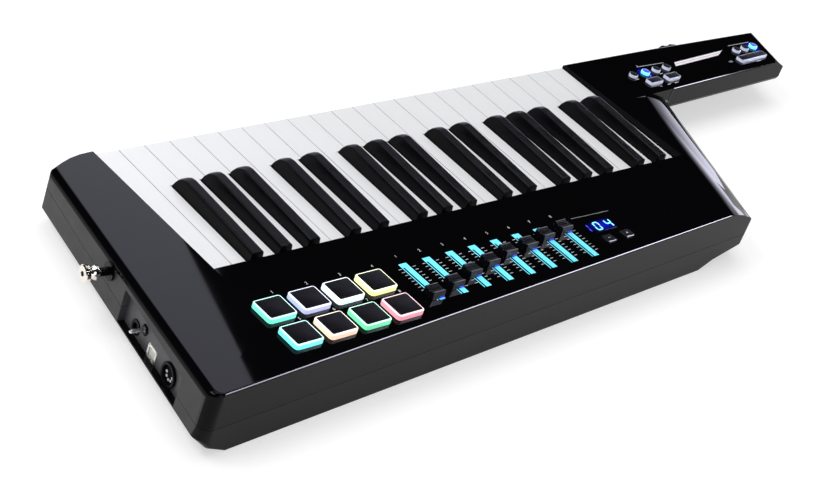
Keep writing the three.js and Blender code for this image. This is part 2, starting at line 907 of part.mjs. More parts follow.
const panelButtons = Array.from({ length: panelButtonCount }, (_, i) => ({
  name: `panel_button_${i + 1}`,
  group: panel,
  x: panelButtonX + i * panelButtonPitch,
  y: -panelButtonBack,
  width: panelButtonWidth,
  length: panelButtonLength,
  rise: panelButtonRise,
}));
const neckButtons = [
  ['neck_button_root_1', rootButtonX, neckButtonWidth],
  ['neck_button_root_2', rootButtonX + rootButtonPitch, neckButtonWidth],
  ['neck_button_tip', tipButtonX, tipButtonWidth],
].map(([name, x, width]) => ({
  name,
  group: neckTop,
  x,
  y: neckButtonIn,
  width,
  length: neckButtonLength,
  rise: neckButtonRise,
}));
const buttons = [...panelButtons, ...neckButtons];

function addButtons() {
  buttons.forEach(({ name, group, x, y, width, length, rise }) => {
    addPiece(group, name, pushButton(width, length, rise), satinBlack).position.set(x, y, 0);
  });
}

// A silicone keypad: one sheet under the panel, and a round key through each hole.
function domeKeypad(places) {
  const under = -wall - fitGap;
  const reach = domeRadius + flangeMargin;
  const first = places[0] - reach;
  const last = places[places.length - 1] + reach;
  const sheet = shifted(
    upright(roundedRectangle(last - first, reach * 2, domeRadius), under - matThick, under),
    (first + last) / 2,
    domeIn,
    0,
  );
  const domes = places.map((x) => shifted(turned([
    [0, under - matThick],
    [domeRadius, under - matThick],
    [domeRadius, domeRise - domeBevel],
    [domeRadius - domeBevel, domeRise],
    [0, domeRise],
  ], roundSides), x, domeIn, 0));
  return joined([sheet, ...domes]);
}
const domeHoles = (places) => places.map((x) => (
  shifted(drum(domeRadius + fitGap, -wall - overrun, overrun, roundSides), x, domeIn, 0)
));

const padPlaces = Array.from({ length: padColumns * padRows }, (_, i) => [
  padColumnsX + (i % padColumns) * padPitchX,
  -padRowBack - Math.floor(i / padColumns) * padPitchY,
]);

// The eight pads stand on one silicone sheet that lies against the panel's underside.
function padMat() {
  const under = -wall - fitGap;
  const width = (padColumns - 1) * padPitchX + padWidth + matMargin * 2;
  const length = (padRows - 1) * padPitchY + padLength + matMargin * 2;
  const sheet = shifted(
    upright(roundedRectangle(width, length, matMargin), under - matThick, under),
    padColumnsX + ((padColumns - 1) * padPitchX) / 2,
    -padRowBack - ((padRows - 1) * padPitchY) / 2,
    0,
  );
  const ring = (inset, height) => lifted(
    roundedRectangle(padWidth - inset * 2, padLength - inset * 2, padRadius - inset),
    height,
  );
  const pads = padPlaces.map(([x, y]) => shifted(
    loft([ring(0, under - matThick), ring(0, padRise - padBevel), ring(padBevel, padRise)]),
    x,
    y,
    0,
  ));
  return joined([sheet, ...pads]);
}
const padWindows = padPlaces.map(([x, y]) => shifted(upright(
  roundedRectangle(padWidth + fitGap * 2, padLength + fitGap * 2, padRadius + fitGap),
  -wall - overrun,
  overrun,
), x, y, 0));

// A fader cap: dished along its top, with a line across the middle and a thin stem below.
function faderCap() {
  const half = capLength / 2;
  const profile = [
    point(-half, fitGap),
    point(half, fitGap),
    point(half - capDraft, capRise),
    point(half / 2, capRise - capDish),
    point(-half / 2, capRise - capDish),
    point(capDraft - half, capRise),
  ];
  const stem = box(
    [-stemWidth / 2, stemWidth / 2],
    [-stemLength / 2, stemLength / 2],
    [-stemDrop, capRise / 2],
  );
  const line = box(
    [-capWidth, capWidth],
    [-capLine / 2, capLine / 2],
    [capRise - capDish * 2, capRise],
  );
  return crosswise(profile, -capWidth / 2, capWidth / 2).subtract(line).add(stem);
}

const faderSlots = Array.from({ length: faderCount }, (_, i) => {
  const x = faderFirstX + i * faderPitch;
  const reach = stemLength / 2 + slotSpare;
  return box(
    [x - slotWidth / 2, x + slotWidth / 2],
    [-faderNearBack - reach, -faderNearBack + faderTravel + reach],
    [-wall - overrun, overrun],
  );
});

function addFaders() {
  faderRestShares.forEach((share, i) => {
    const cap = addPiece(panel, `fader_cap_${i + 1}`, faderCap(), satinBlack);
    cap.position.set(faderFirstX + i * faderPitch, -faderNearBack + share * faderTravel, 0);
  });
}

// Pitch wheel: a dished disc on an upright axle, with a finger notch at its resting place.
function pitchWheel() {
  const bore = wheelAxleRadius + fitGap;
  const webLow = wheelThick - wheelWeb;
  const rimIn = wheelRadius - wheelRimThick;
  const disc = turned([
    [bore, 0],
    [wheelHubRadius, 0],
    [wheelHubRadius, webLow],
    [rimIn, webLow],
    [rimIn, 0],
    [wheelRadius - wheelCrown, 0],
    [wheelRadius, wheelCrown],
    [wheelRadius, wheelThick - wheelCrown],
    [wheelRadius - wheelCrown, wheelThick],
    [bore, wheelThick],
    [bore, 0],
  ], wheelSides);
  const notch = shifted(
    drum(wheelNotchRadius, -overrun, wheelThick + overrun, roundSides),
    0,
    wheelRadius + wheelNotchRadius - wheelNotchDepth,
    0,
  );
  return disc.subtract(notch);
}
const wheelFloor = -wheelTopDrop - wheelThick;
const wheelSpace = () => shifted(
  drum(wheelRadius + wheelGap, wheelFloor - fitGap, -wheelTopDrop + fitGap, wheelSides),
  rootX + wheelX,
  wheelCentreY,
  0,
);

// Connector niche

// The niche as a block, from outside the wall in to a depth, grown by a margin.
function nicheBlock(depth, margin) {
  const [far, near] = [alongWall(nicheFarY) + margin, -alongWall(nicheNearY) - margin];
  const outline = [
    point(near, -nicheFloorDrop - margin),
    point(far, -nicheFloorDrop - margin),
    point(far, -nicheTopFarDrop + margin),
    point(near, -nicheTopNearDrop + margin),
  ];
  return placed(upright(outline, -overrun, depth), endWall.matrixWorld);
}

// A round or square hole in the jack plate, by its place on the plate.
function plateHole(solid, y, drop) {
  return placed(shifted(solid, -alongWall(y), -drop, nicheDepth), endWall.matrixWorld);
}

// The socket openings: the power jack, the toggle's bush, the square socket and the round one.
function socketCuts() {
  const deep = nicheDepth + socketDepth;
  const square = upright(
    roundedRectangle(usbWidth, usbHeight, usbCornerRadius),
    -overrun,
    socketDepth,
  );
  const tongue = box(
    [-usbTongueWidth / 2, usbTongueWidth / 2],
    [-usbTongueHeight / 2, usbTongueHeight / 2],
    [plateThick, deep],
  );
  return [
    plateHole(drum(jackRadius, -overrun, socketDepth, roundSides), jackY, jackDrop),
    plateHole(drum(toggleBoreRadius, -overrun, socketDepth, roundSides), toggleY, toggleDrop),
    plateHole(square.subtract(tongue), usbY, usbDrop),
    plateHole(drum(dinRadius, -overrun, dinDepth, roundSides), dinY, dinDrop),
  ];
}

// The housings behind the plate that close each socket.
function socketHousings() {
  const back = socketDepth + plateThick;
  return [
    plateHole(drum(jackRadius + plateThick, 0, back, roundSides), jackY, jackDrop),
    plateHole(drum(toggleBoreRadius + plateThick, 0, back, roundSides), toggleY, toggleDrop),
    plateHole(box(
      [-usbWidth / 2 - plateThick, usbWidth / 2 + plateThick],
      [-usbHeight / 2 - plateThick, usbHeight / 2 + plateThick],
      [0, back],
    ), usbY, usbDrop),
    plateHole(drum(dinRadius + plateThick, 0, dinDepth + plateThick, roundSides), dinY, dinDrop),
  ];
}

// The power toggle: a bat lever on a ball, at rest square to the plate.
function powerToggle() {
  return turned([
    [0, leverBack],
    [leverRadius, leverBack],
    [leverBallRadius, fitGap],
    [leverBallRadius, -fitGap],
    [leverRadius, -leverBallRadius],
    [leverTipRadius, -leverReach + leverTipRadius],
    [leverTipRadius / 2, -leverReach],
    [0, -leverReach],
  ], pinSides);
}

// The strap peg: washer, waisted neck with its ring, and a flat round head.
function strapPeg() {
  const headBack = pegReach - pegHeadThick;
  return turned([
    [0, wall - fitGap],
    [pegShankRadius, wall - fitGap],
    [pegShankRadius, -fitGap],
    [washerRadius, -fitGap],
    [washerRadius, -washerThick],
    [pegNeckRadius, -washerThick],
    [pegNeckRadius, -headBack / 2],
    [pegRingRadius, -headBack / 2 - pegNeckRadius / 2],
    [pegRingRadius, -headBack / 2 - pegNeckRadius],
    [pegNeckRadius, -headBack + pegNeckRadius / 2],
    [pegHeadRadius, -headBack],
    [pegHeadRadius, -pegReach + pegHeadEdge],
    [pegHeadRadius - pegHeadEdge, -pegReach],
    [0, -pegReach],
  ], roundSides);
}

// Battery bay

const bayCentre = [bayX + bayWidth / 2, -bayNearY + bayLength / 2];
const doorWidth = bayWidth + doorMargin * 2;
const doorLength = bayLength + doorMargin * 2;

// The door: a flat lid with two hooks on one edge and a finger tab on the other.
function batteryDoor() {
  const lid = upright(roundedRectangle(doorWidth, doorLength, doorRadius), 0, doorThick);
  const tab = (x) => box(
    [x - doorTabWidth / 2, x + doorTabWidth / 2],
    [doorLength / 2 - doorMargin - doorTabReach, doorLength / 2 - doorMargin - fitGap],
    [0, doorTabRise],
  );
  const grip = box(
    [-doorTabWidth, doorTabWidth],
    [-doorLength / 2 + doorMargin, -doorLength / 2 + doorMargin + doorTabReach],
    [-overrun, doorThick / 2],
  );
  return joined([lid, tab(-doorWidth / 4), tab(doorWidth / 4)]).subtract(grip);
}

// The recess for the lid and the bay above it.
function bayCuts() {
  const under = -bellyDrop - overrun;
  const recess = upright(
    roundedRectangle(doorWidth + fitGap * 2, doorLength + fitGap * 2, doorRadius + fitGap),
    under,
    -bellyDrop + doorThick + fitGap,
  );
  const bay = box(
    [bayX, bayX + bayWidth],
    [-bayNearY, -bayNearY + bayLength],
    [under, -bellyDrop + bayDepth],
  );
  return [shifted(recess, bayCentre[0], bayCentre[1], 0), bay];
}
const bayHousing = () => box(
  [bayX - doorMargin - wall, bayX + bayWidth + doorMargin + wall],
  [-bayNearY - doorMargin - wall, -bayNearY + bayLength + doorMargin + wall],
  [-bellyDrop, -bellyDrop + bayDepth + wall],
);

// Shells

const wellWalls = [-wellGap, keysWidth + wellGap];

function topShell() {
  const foot = (gap) => (y) => seamAt(y) + gap;
  const outer = cutFrom(crown(0, foot(fitGap / 2)), [fallingEnd(0), fallingTip(0)]);
  const ledgeSlab = box(
    [wellWalls[0] - wall, wellWalls[1] + wall],
    [-ledgeFar - wall, -ledgeNear + overrun],
    [ledgeRise - ledgeThick, overrun + panelRise],
  );
  const cheekWalls = [
    box([wellWalls[0] - wall, wellWalls[0]], [-ledgeFar, whiteLength], [-bellyDrop, panelRise]),
    box([wellWalls[1], wellWalls[1] + wall], [-ledgeFar, whiteLength], [-bellyDrop, panelRise]),
  ];
  const posts = screwPosts();
  const cavity = cutFrom(crown(wall, foot(-overrun)), [
    fallingEnd(wall),
    fallingTip(wall),
    ledgeSlab,
    ...cheekWalls,
    ...posts,
    nicheBlock(nicheDepth + plateThick + wall, wall),
  ]);
  const well = box(wellWalls, [-ledgeNear, whiteLength + overrun], [-bellyDrop, panelRise + overrun]);
  const groove = box(wellWalls, [-ledgeFar, -ledgeNear + overrun], [ledgeRise, panelRise + overrun]);
  const windows = [
    ...padWindows,
    ...faderSlots,
    ...panelButtons.map(({ x, y, width, length }) => shifted(buttonWindow(width, length), x, y, 0)),
  ].map((cutter) => placed(cutter, panel.matrixWorld));
  const neckWindows = [
    ...neckButtons.map(({ x, y, width, length }) => shifted(buttonWindow(width, length), x, y, 0)),
    ...domeHoles(rootDomePlaces),
    ...domeHoles(tipDomePlaces),
  ].map((cutter) => placed(cutter, neckTop.matrixWorld));
  const pegHole = placed(
    shifted(
      drum(pegShankRadius + fitGap, -overrun, wall + overrun, roundSides),
      alongWall(pegY),
      -pegDrop,
      0,
    ),
    endWall.matrixWorld,
  );
  return cutFrom(outer, [
    cavity,
    well,
    groove,
    ...windows,
    ...neckWindows,
    nicheBlock(nicheDepth + plateThick + wall + overrun, 0),
    wheelSpace(),
    pegHole,
  ]);
}

function bottomShell() {
  const brim = (gap) => (y) => seamAt(y) + gap;
  const outer = hull(0, brim(-fitGap / 2)).add(neckBlock(0, brim(-fitGap / 2)));
  const inner = hull(wall, brim(overrun)).add(neckBlock(wall, brim(overrun)));
  const posts = screwPosts();
  const frameSeats = frameSeatShares.map((share) => share * keysWidth).flatMap((x) => (
    [-frameNear + fitGap, frameFar - farRamp + fitGap].map((y) => box(
      [x, x + frameSeatWidth],
      [y, y + frameSeatLength],
      [-bellyDrop, -frameFloorDrop - fitGap],
    ))
  ));
  const axle = [rootX + wheelX, wheelCentreY];
  const wheelBoss = [
    shifted(drum(wheelHubRadius, -neckDrop, wheelFloor - fitGap, pinSides), axle[0], axle[1], 0),
    shifted(drum(wheelAxleRadius, -neckDrop, -wheelTopDrop - fitGap, pinSides), axle[0], axle[1], 0),
  ];
  const housings = [nicheBlock(nicheDepth + plateThick, wall), ...socketHousings(), bayHousing()];
  const cavity = cutFrom(inner, [...posts, ...frameSeats, ...housings]);
  const keyGapAbove = box(
    [wellWalls[0], wellWalls[1]],
    [whiteLength - wall - overrun, whiteLength + overrun],
    [-whiteLip - keyDip - stopGap, overrun],
  );
  const behind = nicheBlock(nicheDepth + socketDepth + plateThick * 2, -fitGap);
  const plate = nicheBlock(nicheDepth + plateThick, -fitGap)
    .subtract(nicheBlock(nicheDepth, 0))
    .add(joined(socketHousings()).intersect(behind));
  const screwWells = postPlaces.map(([x, y]) => (
    shifted(drum(screwHeadRadius, -bellyDrop - overrun, -bellyDrop + screwHeadDepth, pinSides), x, y, 0)
  ));
  const shell = cutFrom(outer, [
    cavity,
    nicheBlock(nicheDepth, 0),
    keyGapAbove,
    wheelSpace(),
  ]);
  return cutFrom(joined([shell, plate, ...wheelBoss]), [...socketCuts(), ...bayCuts(), ...screwWells]);
}

// Assembly

addPiece(body, 'top_shell', topShell(), glossBlack);
addPiece(body, 'bottom_shell', bottomShell(), glossBlack);
addPiece(body, 'keybed_frame', keybedFrame(), frameGrey);
addKeys();
addPiece(panel, 'pad_mat', padMat(), padBlack);
addFaders();
addButtons();
addPiece(neckTop, 'neck_keypad_root', domeKeypad(rootDomePlaces), silicone);
addPiece(neckTop, 'neck_keypad_tip', domeKeypad(tipDomePlaces), silicone);
addPiece(body, 'pitch_wheel', pitchWheel(), satinBlack)
  .position.set(rootX + wheelX, wheelCentreY, wheelFloor);
addPiece(endWall, 'power_toggle', powerToggle(), chrome)
  .position.set(-alongWall(toggleY), -toggleDrop, nicheDepth);
addPiece(endWall, 'strap_peg', strapPeg(), chrome)
  .position.set(alongWall(pegY), -pegDrop, 0);
addPiece(body, 'battery_door', batteryDoor(), glossBlack)
  .position.set(bayCentre[0], bayCentre[1], -bellyDrop);

// Stand the whole on its flat belly, centred over the origin.
const bounds = new THREE.Box3().setFromObject(body, true);
const middle = bounds.getCenter(new THREE.Vector3());
body.position.set(-middle.x, -middle.y, -bounds.min.z);

const keytar = new THREE.Group();
keytar.add(body);
keytar.updateMatrixWorld(true);

export default keytar;
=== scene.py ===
"""A strap-on keyboard: finishes for its solids, its lit and printed parts, and the studio."""

from __future__ import annotations

import json
import logging
import math
from dataclasses import dataclass
from enum import Enum
from typing import Callable, Iterable, Sequence

import bmesh
import bpy
from mathutils import Matrix, Vector

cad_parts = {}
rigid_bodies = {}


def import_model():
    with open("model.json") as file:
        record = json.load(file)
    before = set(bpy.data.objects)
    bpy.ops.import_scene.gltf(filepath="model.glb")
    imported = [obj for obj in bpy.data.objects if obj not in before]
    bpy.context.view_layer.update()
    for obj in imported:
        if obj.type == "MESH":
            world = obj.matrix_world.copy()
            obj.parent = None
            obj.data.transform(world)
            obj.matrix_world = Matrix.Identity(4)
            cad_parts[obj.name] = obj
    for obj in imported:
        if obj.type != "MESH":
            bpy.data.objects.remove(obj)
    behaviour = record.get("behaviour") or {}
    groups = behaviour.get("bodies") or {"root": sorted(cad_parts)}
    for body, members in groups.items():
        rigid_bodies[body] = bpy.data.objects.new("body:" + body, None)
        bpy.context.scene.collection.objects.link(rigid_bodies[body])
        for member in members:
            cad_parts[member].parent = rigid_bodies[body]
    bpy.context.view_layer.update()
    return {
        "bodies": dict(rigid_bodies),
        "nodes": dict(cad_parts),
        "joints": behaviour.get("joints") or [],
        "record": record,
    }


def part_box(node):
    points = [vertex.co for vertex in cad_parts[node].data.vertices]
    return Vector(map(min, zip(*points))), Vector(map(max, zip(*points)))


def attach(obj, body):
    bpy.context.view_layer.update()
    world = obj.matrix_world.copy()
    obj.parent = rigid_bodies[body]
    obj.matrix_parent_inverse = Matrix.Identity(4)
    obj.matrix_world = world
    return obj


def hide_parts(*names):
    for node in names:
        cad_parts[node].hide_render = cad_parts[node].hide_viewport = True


log = logging.getLogger("strap_on_keyboard")

Mesh = bmesh.types.BMesh
Face = bmesh.types.BMFace
Node = bpy.types.Node
Nodes = bpy.types.NodeTree
Output = bpy.types.NodeSocket
Point = Sequence[float]

MM = 0.001
TINY = 1e-6
UP = Vector((0, 0, 1))
CASING = "casing"

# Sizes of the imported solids, in millimetres and as slopes.
WHITE_LENGTH = 145.0
HALF_KEY_GAP = 0.5
PANEL_SLOPE = 0.027
PANEL_RISE = 7.8
LEDGE_FAR = 17.0
WALL_X = -67.0
WALL_LEAN = 0.168
PLATE_DEPTH = 5.5


class Slot(Enum):
    """The record's material slots, listed here but given to no piece."""

    GLOSS = "gloss_black"
    SATIN = "satin_black"
    WHITE = "key_white"
    BUTTON = "button_silicone"
    PAD = "pad_silicone"
    CHROME = "chrome"


class Lamp(Enum):
    """Colours of the light behind the rubber keys and the fader caps."""

    MINT = "#66ECCB"
    LAVENDER = "#A5AAD6"
    FROST = "#DDEFEF"
    LEMON = "#E9F09A"
    CYAN = "#66EFEA"
    PEACH = "#F5CAAE"
    GREEN = "#5FDDA2"
    ROSE = "#E38A9B"
    SKY = "#6FE6EA"
    MILK = "#B9BED8"
    DEEP_BLUE = "#1A20E8"


def linear(code: str) -> tuple[float, float, float, float]:
    """Turn an sRGB colour into the linear colour that shaders use.

    Args:
        code: the colour as "#RRGGBB".

    Returns:
        Linear red, green and blue, and an alpha of 1.
    """
    shares = [int(code[i : i + 2], 16) / 255 for i in (1, 3, 5)]
    lit = [s / 12.92 if s <= 0.04045 else ((s + 0.055) / 1.055) ** 2.4 for s in shares]
    return (lit[0], lit[1], lit[2], 1.0)


def pale(code: str, share: float) -> str:
    """Mix an sRGB colour with white by a share."""
    mixed = [round(int(code[i : i + 2], 16) * (1 - share) + 255 * share) for i in (1, 3, 5)]
    return "#" + "".join(f"{v:02X}" for v in mixed)


def per_metre(size_mm: float) -> float:
    """The scale at which a noise pattern's features are about this many millimetres wide."""
    return 1 / (size_mm * MM)


def add(tree: Nodes, kind: str, sockets: dict | None = None, **settings: object) -> Node:
    """Add a node to a tree.

    Args:
        tree: the node tree.
        kind: the node's type name, without the "ShaderNode" that starts it.
        sockets: values for its inputs by name or number, or the outputs that feed them.
        settings: the node's own properties.

    Returns:
        The new node.
    """
    made = tree.nodes.new(f"ShaderNode{kind}")
    for name, value in settings.items():
        setattr(made, name, value)
    for name, value in (sockets or {}).items():
        if isinstance(value, Output):
            tree.links.new(value, made.inputs[name])
        else:
            made.inputs[name].default_value = value
    return made


@dataclass(frozen=True)
class Finish:
    """A surface, named for its real material."""

    name: str

    def material(self) -> bpy.types.Material:
        """Build the material, or fetch it if it is there already."""
        found = bpy.data.materials.get(self.name)
        if found:
            return found
        made = bpy.data.materials.new(self.name)
        made.use_nodes = True
        tree = made.node_tree
        tree.nodes.clear()
        add(tree, "OutputMaterial", {"Surface": self.shader(tree).outputs[0]})
        return made

    def shader(self, tree: Nodes) -> Node:
        """Add the surface's nodes and hand back the shader that they end in."""
        place = add(tree, "TexCoord").outputs["Object"]
        return add(tree, "BsdfPrincipled", self.sockets(tree, place))

    def sockets(self, tree: Nodes, place: Output) -> dict:
        """Add the nodes that vary over the surface, and say what the shader's sockets take."""
        raise NotImplementedError


@dataclass(frozen=True)
class Plastic(Finish):
    """A moulded plastic or rubber, with its grain, its smudges and its slow colour drift."""

    colour: str
    drift: str
    roughness: float
    spread: float
    smudge_mm: float
    grain_mm: float
    grain_depth_mm: float
    shine: float = 0.5
    soft: float = 0.0

    def sockets(self, tree: Nodes, place: Output) -> dict:
        """Vary the roughness and the colour slowly, and raise the fine grain."""
        smudge = add(
            tree, "TexNoise",
            {"Vector": place, "Scale": per_metre(self.smudge_mm), "Detail": 3.0, "Roughness": 0.55},
        ).outputs["Fac"]
        grain = add(
            tree, "TexNoise", {"Vector": place, "Scale": per_metre(self.grain_mm), "Detail": 2.0},
        ).outputs["Fac"]
        least, most = self.roughness - self.spread, self.roughness + self.spread
        rough = {"From Min": 0.35, "From Max": 0.65, "To Min": least, "To Max": most}
        tints = {0: smudge, 6: linear(self.colour), 7: linear(self.drift)}
        relief = {"Height": grain, "Distance": self.grain_depth_mm * MM, "Strength": 1.0}
        return {
            "Base Color": add(tree, "Mix", tints, data_type="RGBA").outputs[2],
            "Roughness": add(tree, "MapRange", {"Value": smudge, **rough}).outputs["Result"],
            "IOR": 1.5,
            "Specular IOR Level": self.shine,
            "Normal": add(tree, "Bump", relief).outputs["Normal"],
            "Subsurface Weight": self.soft,
            "Subsurface Radius": (2.0 * MM, 1.8 * MM, 1.5 * MM),
        }


@dataclass(frozen=True)
class Metal(Finish):
    """A polished, plated or stamped metal with faint wiping marks."""

    colour: str
    roughness: float
    wipe_mm: float = 3.0

    def sockets(self, tree: Nodes, place: Output) -> dict:
        """Vary the roughness along the wiping marks."""
        wipe = add(
            tree, "TexNoise", {"Vector": place, "Scale": per_metre(self.wipe_mm), "Detail": 4.0},
        ).outputs["Fac"]
        least, most = self.roughness * 0.6, self.roughness * 1.5
        rough = {"Value": wipe, "From Min": 0.3, "From Max": 0.7, "To Min": least, "To Max": most}
        return {
            "Base Color": linear(self.colour),
            "Metallic": 1.0,
            "Roughness": add(tree, "MapRange", rough).outputs["Result"],
        }


@dataclass(frozen=True)
class Lit(Finish):
    """A translucent rubber or diffuser with a lamp behind it, uneven as such light is."""

    colour: str
    glow: float
    patch_mm: float = 9.0
    dim_share: float = 0.8
    roughness: float = 0.4

    def sockets(self, tree: Nodes, place: Output) -> dict:
        """Let the glow fade in patches."""
        patch = add(
            tree, "TexNoise", {"Vector": place, "Scale": per_metre(self.patch_mm), "Detail": 1.0},
        ).outputs["Fac"]
        lamp = linear(self.colour)
        dim = tuple(c * self.dim_share for c in lamp[:3]) + (1.0,)
        light = add(tree, "Mix", {0: patch, 6: dim, 7: lamp}, data_type="RGBA").outputs[2]
        return {
            "Base Color": light, "Roughness": self.roughness,
            "Emission Color": light, "Emission Strength": self.glow,
        }


@dataclass(frozen=True)
class Halo(Finish):
    """A dark surface that glows round a point and fades with distance: on a lens, its lamp's light
    seen through it; on a face, a painted pool of light spilled from a lamp beside it.
    """

    dark: str
    colour: str
    glow: float
    centre: Point
    reach: Point
    roughness: float = 0.08
    shine: float = 0.5

    def sockets(self, tree: Nodes, place: Output) -> dict:
        """Fade the glow with the distance from its centre."""
        offset = tuple(-c / r for c, r in zip(self.centre, self.reach))
        size = tuple(1 / r for r in self.reach)
        moves = {"Vector": place, "Location": offset, "Scale": size}
        spot = {"Vector": add(tree, "Mapping", moves).outputs["Vector"]}
        ball = add(tree, "TexGradient", spot, gradient_type="SPHERICAL").outputs["Fac"]
        lights = {0: ball, 6: (0, 0, 0, 1), 7: linear(self.colour)}
        return {
            "Base Color": linear(self.dark), "Roughness": self.roughness,
            "Specular IOR Level": self.shine, "Emission Strength": self.glow,
            "Emission Color": add(tree, "Mix", lights, data_type="RGBA").outputs[2],
        }


@dataclass(frozen=True)
class FloorPaint(Finish):
    """Matt paint that the camera and mirrors see lifted to white, with the shadow kept."""

    colour: str
    lift: float

    def shader(self, tree: Nodes) -> Node:
        """Add light to the paint for the rays that see it directly."""
        path = add(tree, "LightPath")
        seen = path.outputs["Is Camera Ray"]
        for ray in ("Is Glossy Ray", "Is Transmission Ray"):
            rays = {0: seen, 1: path.outputs[ray]}
            seen = add(tree, "Math", rays, operation="ADD", use_clamp=True).outputs[0]
        lift = add(tree, "Math", {0: seen, 1: self.lift}, operation="MULTIPLY").outputs[0]
        shine = add(tree, "Emission", {"Color": (1, 1, 1, 1), "Strength": lift})
        matt = add(tree, "BsdfDiffuse", {"Color": linear(self.colour)})
        return add(tree, "AddShader", {0: matt.outputs[0], 1: shine.outputs[0]})


# High-gloss black ABS from a mirror-polished tool: deep black with clear reflections.
PIANO_BLACK = Plastic(
    "polished_black_abs", "#040405", "#070709", 0.02, 0.008, 70, 9, 0.0004, shine=0.08
)
# The same resin from a duller tool, for the lower half: reflections a little softer.
BELLY_BLACK = Plastic(
    "moulded_black_abs", "#09090A", "#0C0C0E", 0.2, 0.04, 40, 0.9, 0.004, shine=0.09
)
# The same resin on the end wall, matt, and painted a lighter grey than the rest: painted light, the
# light that falls on that side.
END_WALL_PAINTED_LIGHT = Plastic(
    "end_wall_abs_painted_lighter", "#262628", "#2D2D2F", 0.36, 0.05, 14, 0.9, 0.008, shine=0.25
)
# Spark-eroded ABS of the socket plate: dark grey, even and dull.
PLATE_GREY = Plastic("eroded_grey_abs", "#48484C", "#505055", 0.45, 0.05, 12, 0.6, 0.012)
# Key-top resin, polished but not mirror-like: white with a soft sheen.
KEY_WHITE = Plastic(
    "polished_white_styrene", "#E9EAEC", "#ECECEE", 0.24, 0.02, 60, 1.4, 0.001, shine=0.4, soft=0.05
)
# Sharps in textured black resin: the grain breaks reflections into a grey sheen.
KEY_BLACK = Plastic(
    "textured_black_styrene", "#060608", "#0A0A0D", 0.32, 0.05, 14, 0.9, 0.012, shine=0.12
)
# Glass-filled nylon of the keybed frame: mid grey and matt.
FRAME_GREY = Plastic("glass_filled_nylon", "#3A3B3E", "#46474A", 0.6, 0.05, 20, 0.8, 0.02)
# Black silicone: matt with a powdery bloom; its real grit, too fine to show, is drawn coarser.
PAD_BLACK = Plastic("black_silicone", "#0A0A0D", "#101014", 0.55, 0.05, 6, 0.7, 0.012, shine=0.02)
# Soft-touch ABS of the fader caps and the panel's two buttons; the screws' crosses are drawn in it
# too, as painted shade of their recesses.
CAP_BLACK = Plastic("soft_touch_abs", "#08090C", "#0E0F14", 0.34, 0.05, 8, 0.7, 0.006, shine=0.08)
# White screen ink: flat white, a little uneven where the mesh laid it.
INK_WHITE = Plastic("white_screen_ink", "#D9DADC", "#C4C5C8", 0.5, 0.05, 2, 0.5, 0.002)
INK_GREY = Plastic("grey_screen_ink", "#8B8D92", "#75777C", 0.5, 0.05, 2, 0.5, 0.002)
# The touch strip's film: matt off-white polyester with a faint pink cast, and its centre line.
STRIP_FILM = Plastic("matt_polyester_film", "#EFE9EE", "#F5F1F4", 0.42, 0.04, 9, 0.8, 0.003)
STRIP_LINE = Plastic("strip_centre_ink", "#B7A3B4", "#C2B0BF", 0.5, 0.04, 9, 0.8, 0.003)
# White nylon of the data socket's tongue.
NYLON_WHITE = Plastic("white_nylon", "#D8D6D0", "#E2E0DB", 0.4, 0.05, 3, 0.6, 0.004)
# Polished nickel of the strap peg's head: a mirror, a little warmer than chrome.
WARM_NICKEL = Metal("polished_nickel", "#E9E4DB", 0.14)
# Satin chrome of the power switch's lever.
SATIN_CHROME = Metal("satin_chrome", "#E8E9EB", 0.3)
# Tinned steel stampings of the sockets: pale, bright and soft in its reflections.
TINNED_STEEL = Metal("tinned_steel", "#FBF9F5", 0.55)
# Blackened steel of the screws, the switch's nut and the peg's shank. The power socket's pin is
# drawn in it as well: its black is painted shade, the dark of the socket's hole.
BLACK_STEEL = Metal("blackened_steel", "#121213", 0.3)
# Milky silicone of the neck's unlit keys: translucent, with a little stray light.
MILK_SIDE = Lit("lit_silicone_milk", pale(Lamp.MILK.value, 0.15), 0.5)
MILK_RIM = Lit("lit_silicone_milk_rim", Lamp.MILK.value, 0.25)
# The same silicone over a lamp: cyan sides and rim, and light that glows blue through the lid.
SKY_SIDE = Lit("lit_silicone_sky", Lamp.SKY.value, 1.3, patch_mm=5)
SKY_RIM = Lit("lit_silicone_sky_rim", "#A8F2F8", 1.5, patch_mm=5, dim_share=0.9)
SKY_LID = Lit("lit_silicone_sky_top", "#2A45D8", 0.8, patch_mm=4, dim_share=0.4)
# Diffuser film over the display's segments: pale cyan where lit, deep blue where dim.
DIGIT_LIT = Lit("lit_digit", "#7FDDF8", 1.3, patch_mm=5)
DIGIT_DIM = Lit("dim_digit", "#2A30F0", 0.8, patch_mm=5)
# A glowing chip at a fader cap's foot, no real part: painted light of the guide's blue glow
# spilling under the cap, uneven.
CAP_FOOT_PAINTED_GLOW = Lit("cap_foot_painted_glow", Lamp.DEEP_BLUE.value, 1.0, patch_mm=3, dim_share=0.5)
# Matt white paint of the studio's floor.
FLOOR_WHITE = FloorPaint("matt_white_floor", "#C8C8C8", 0.56)


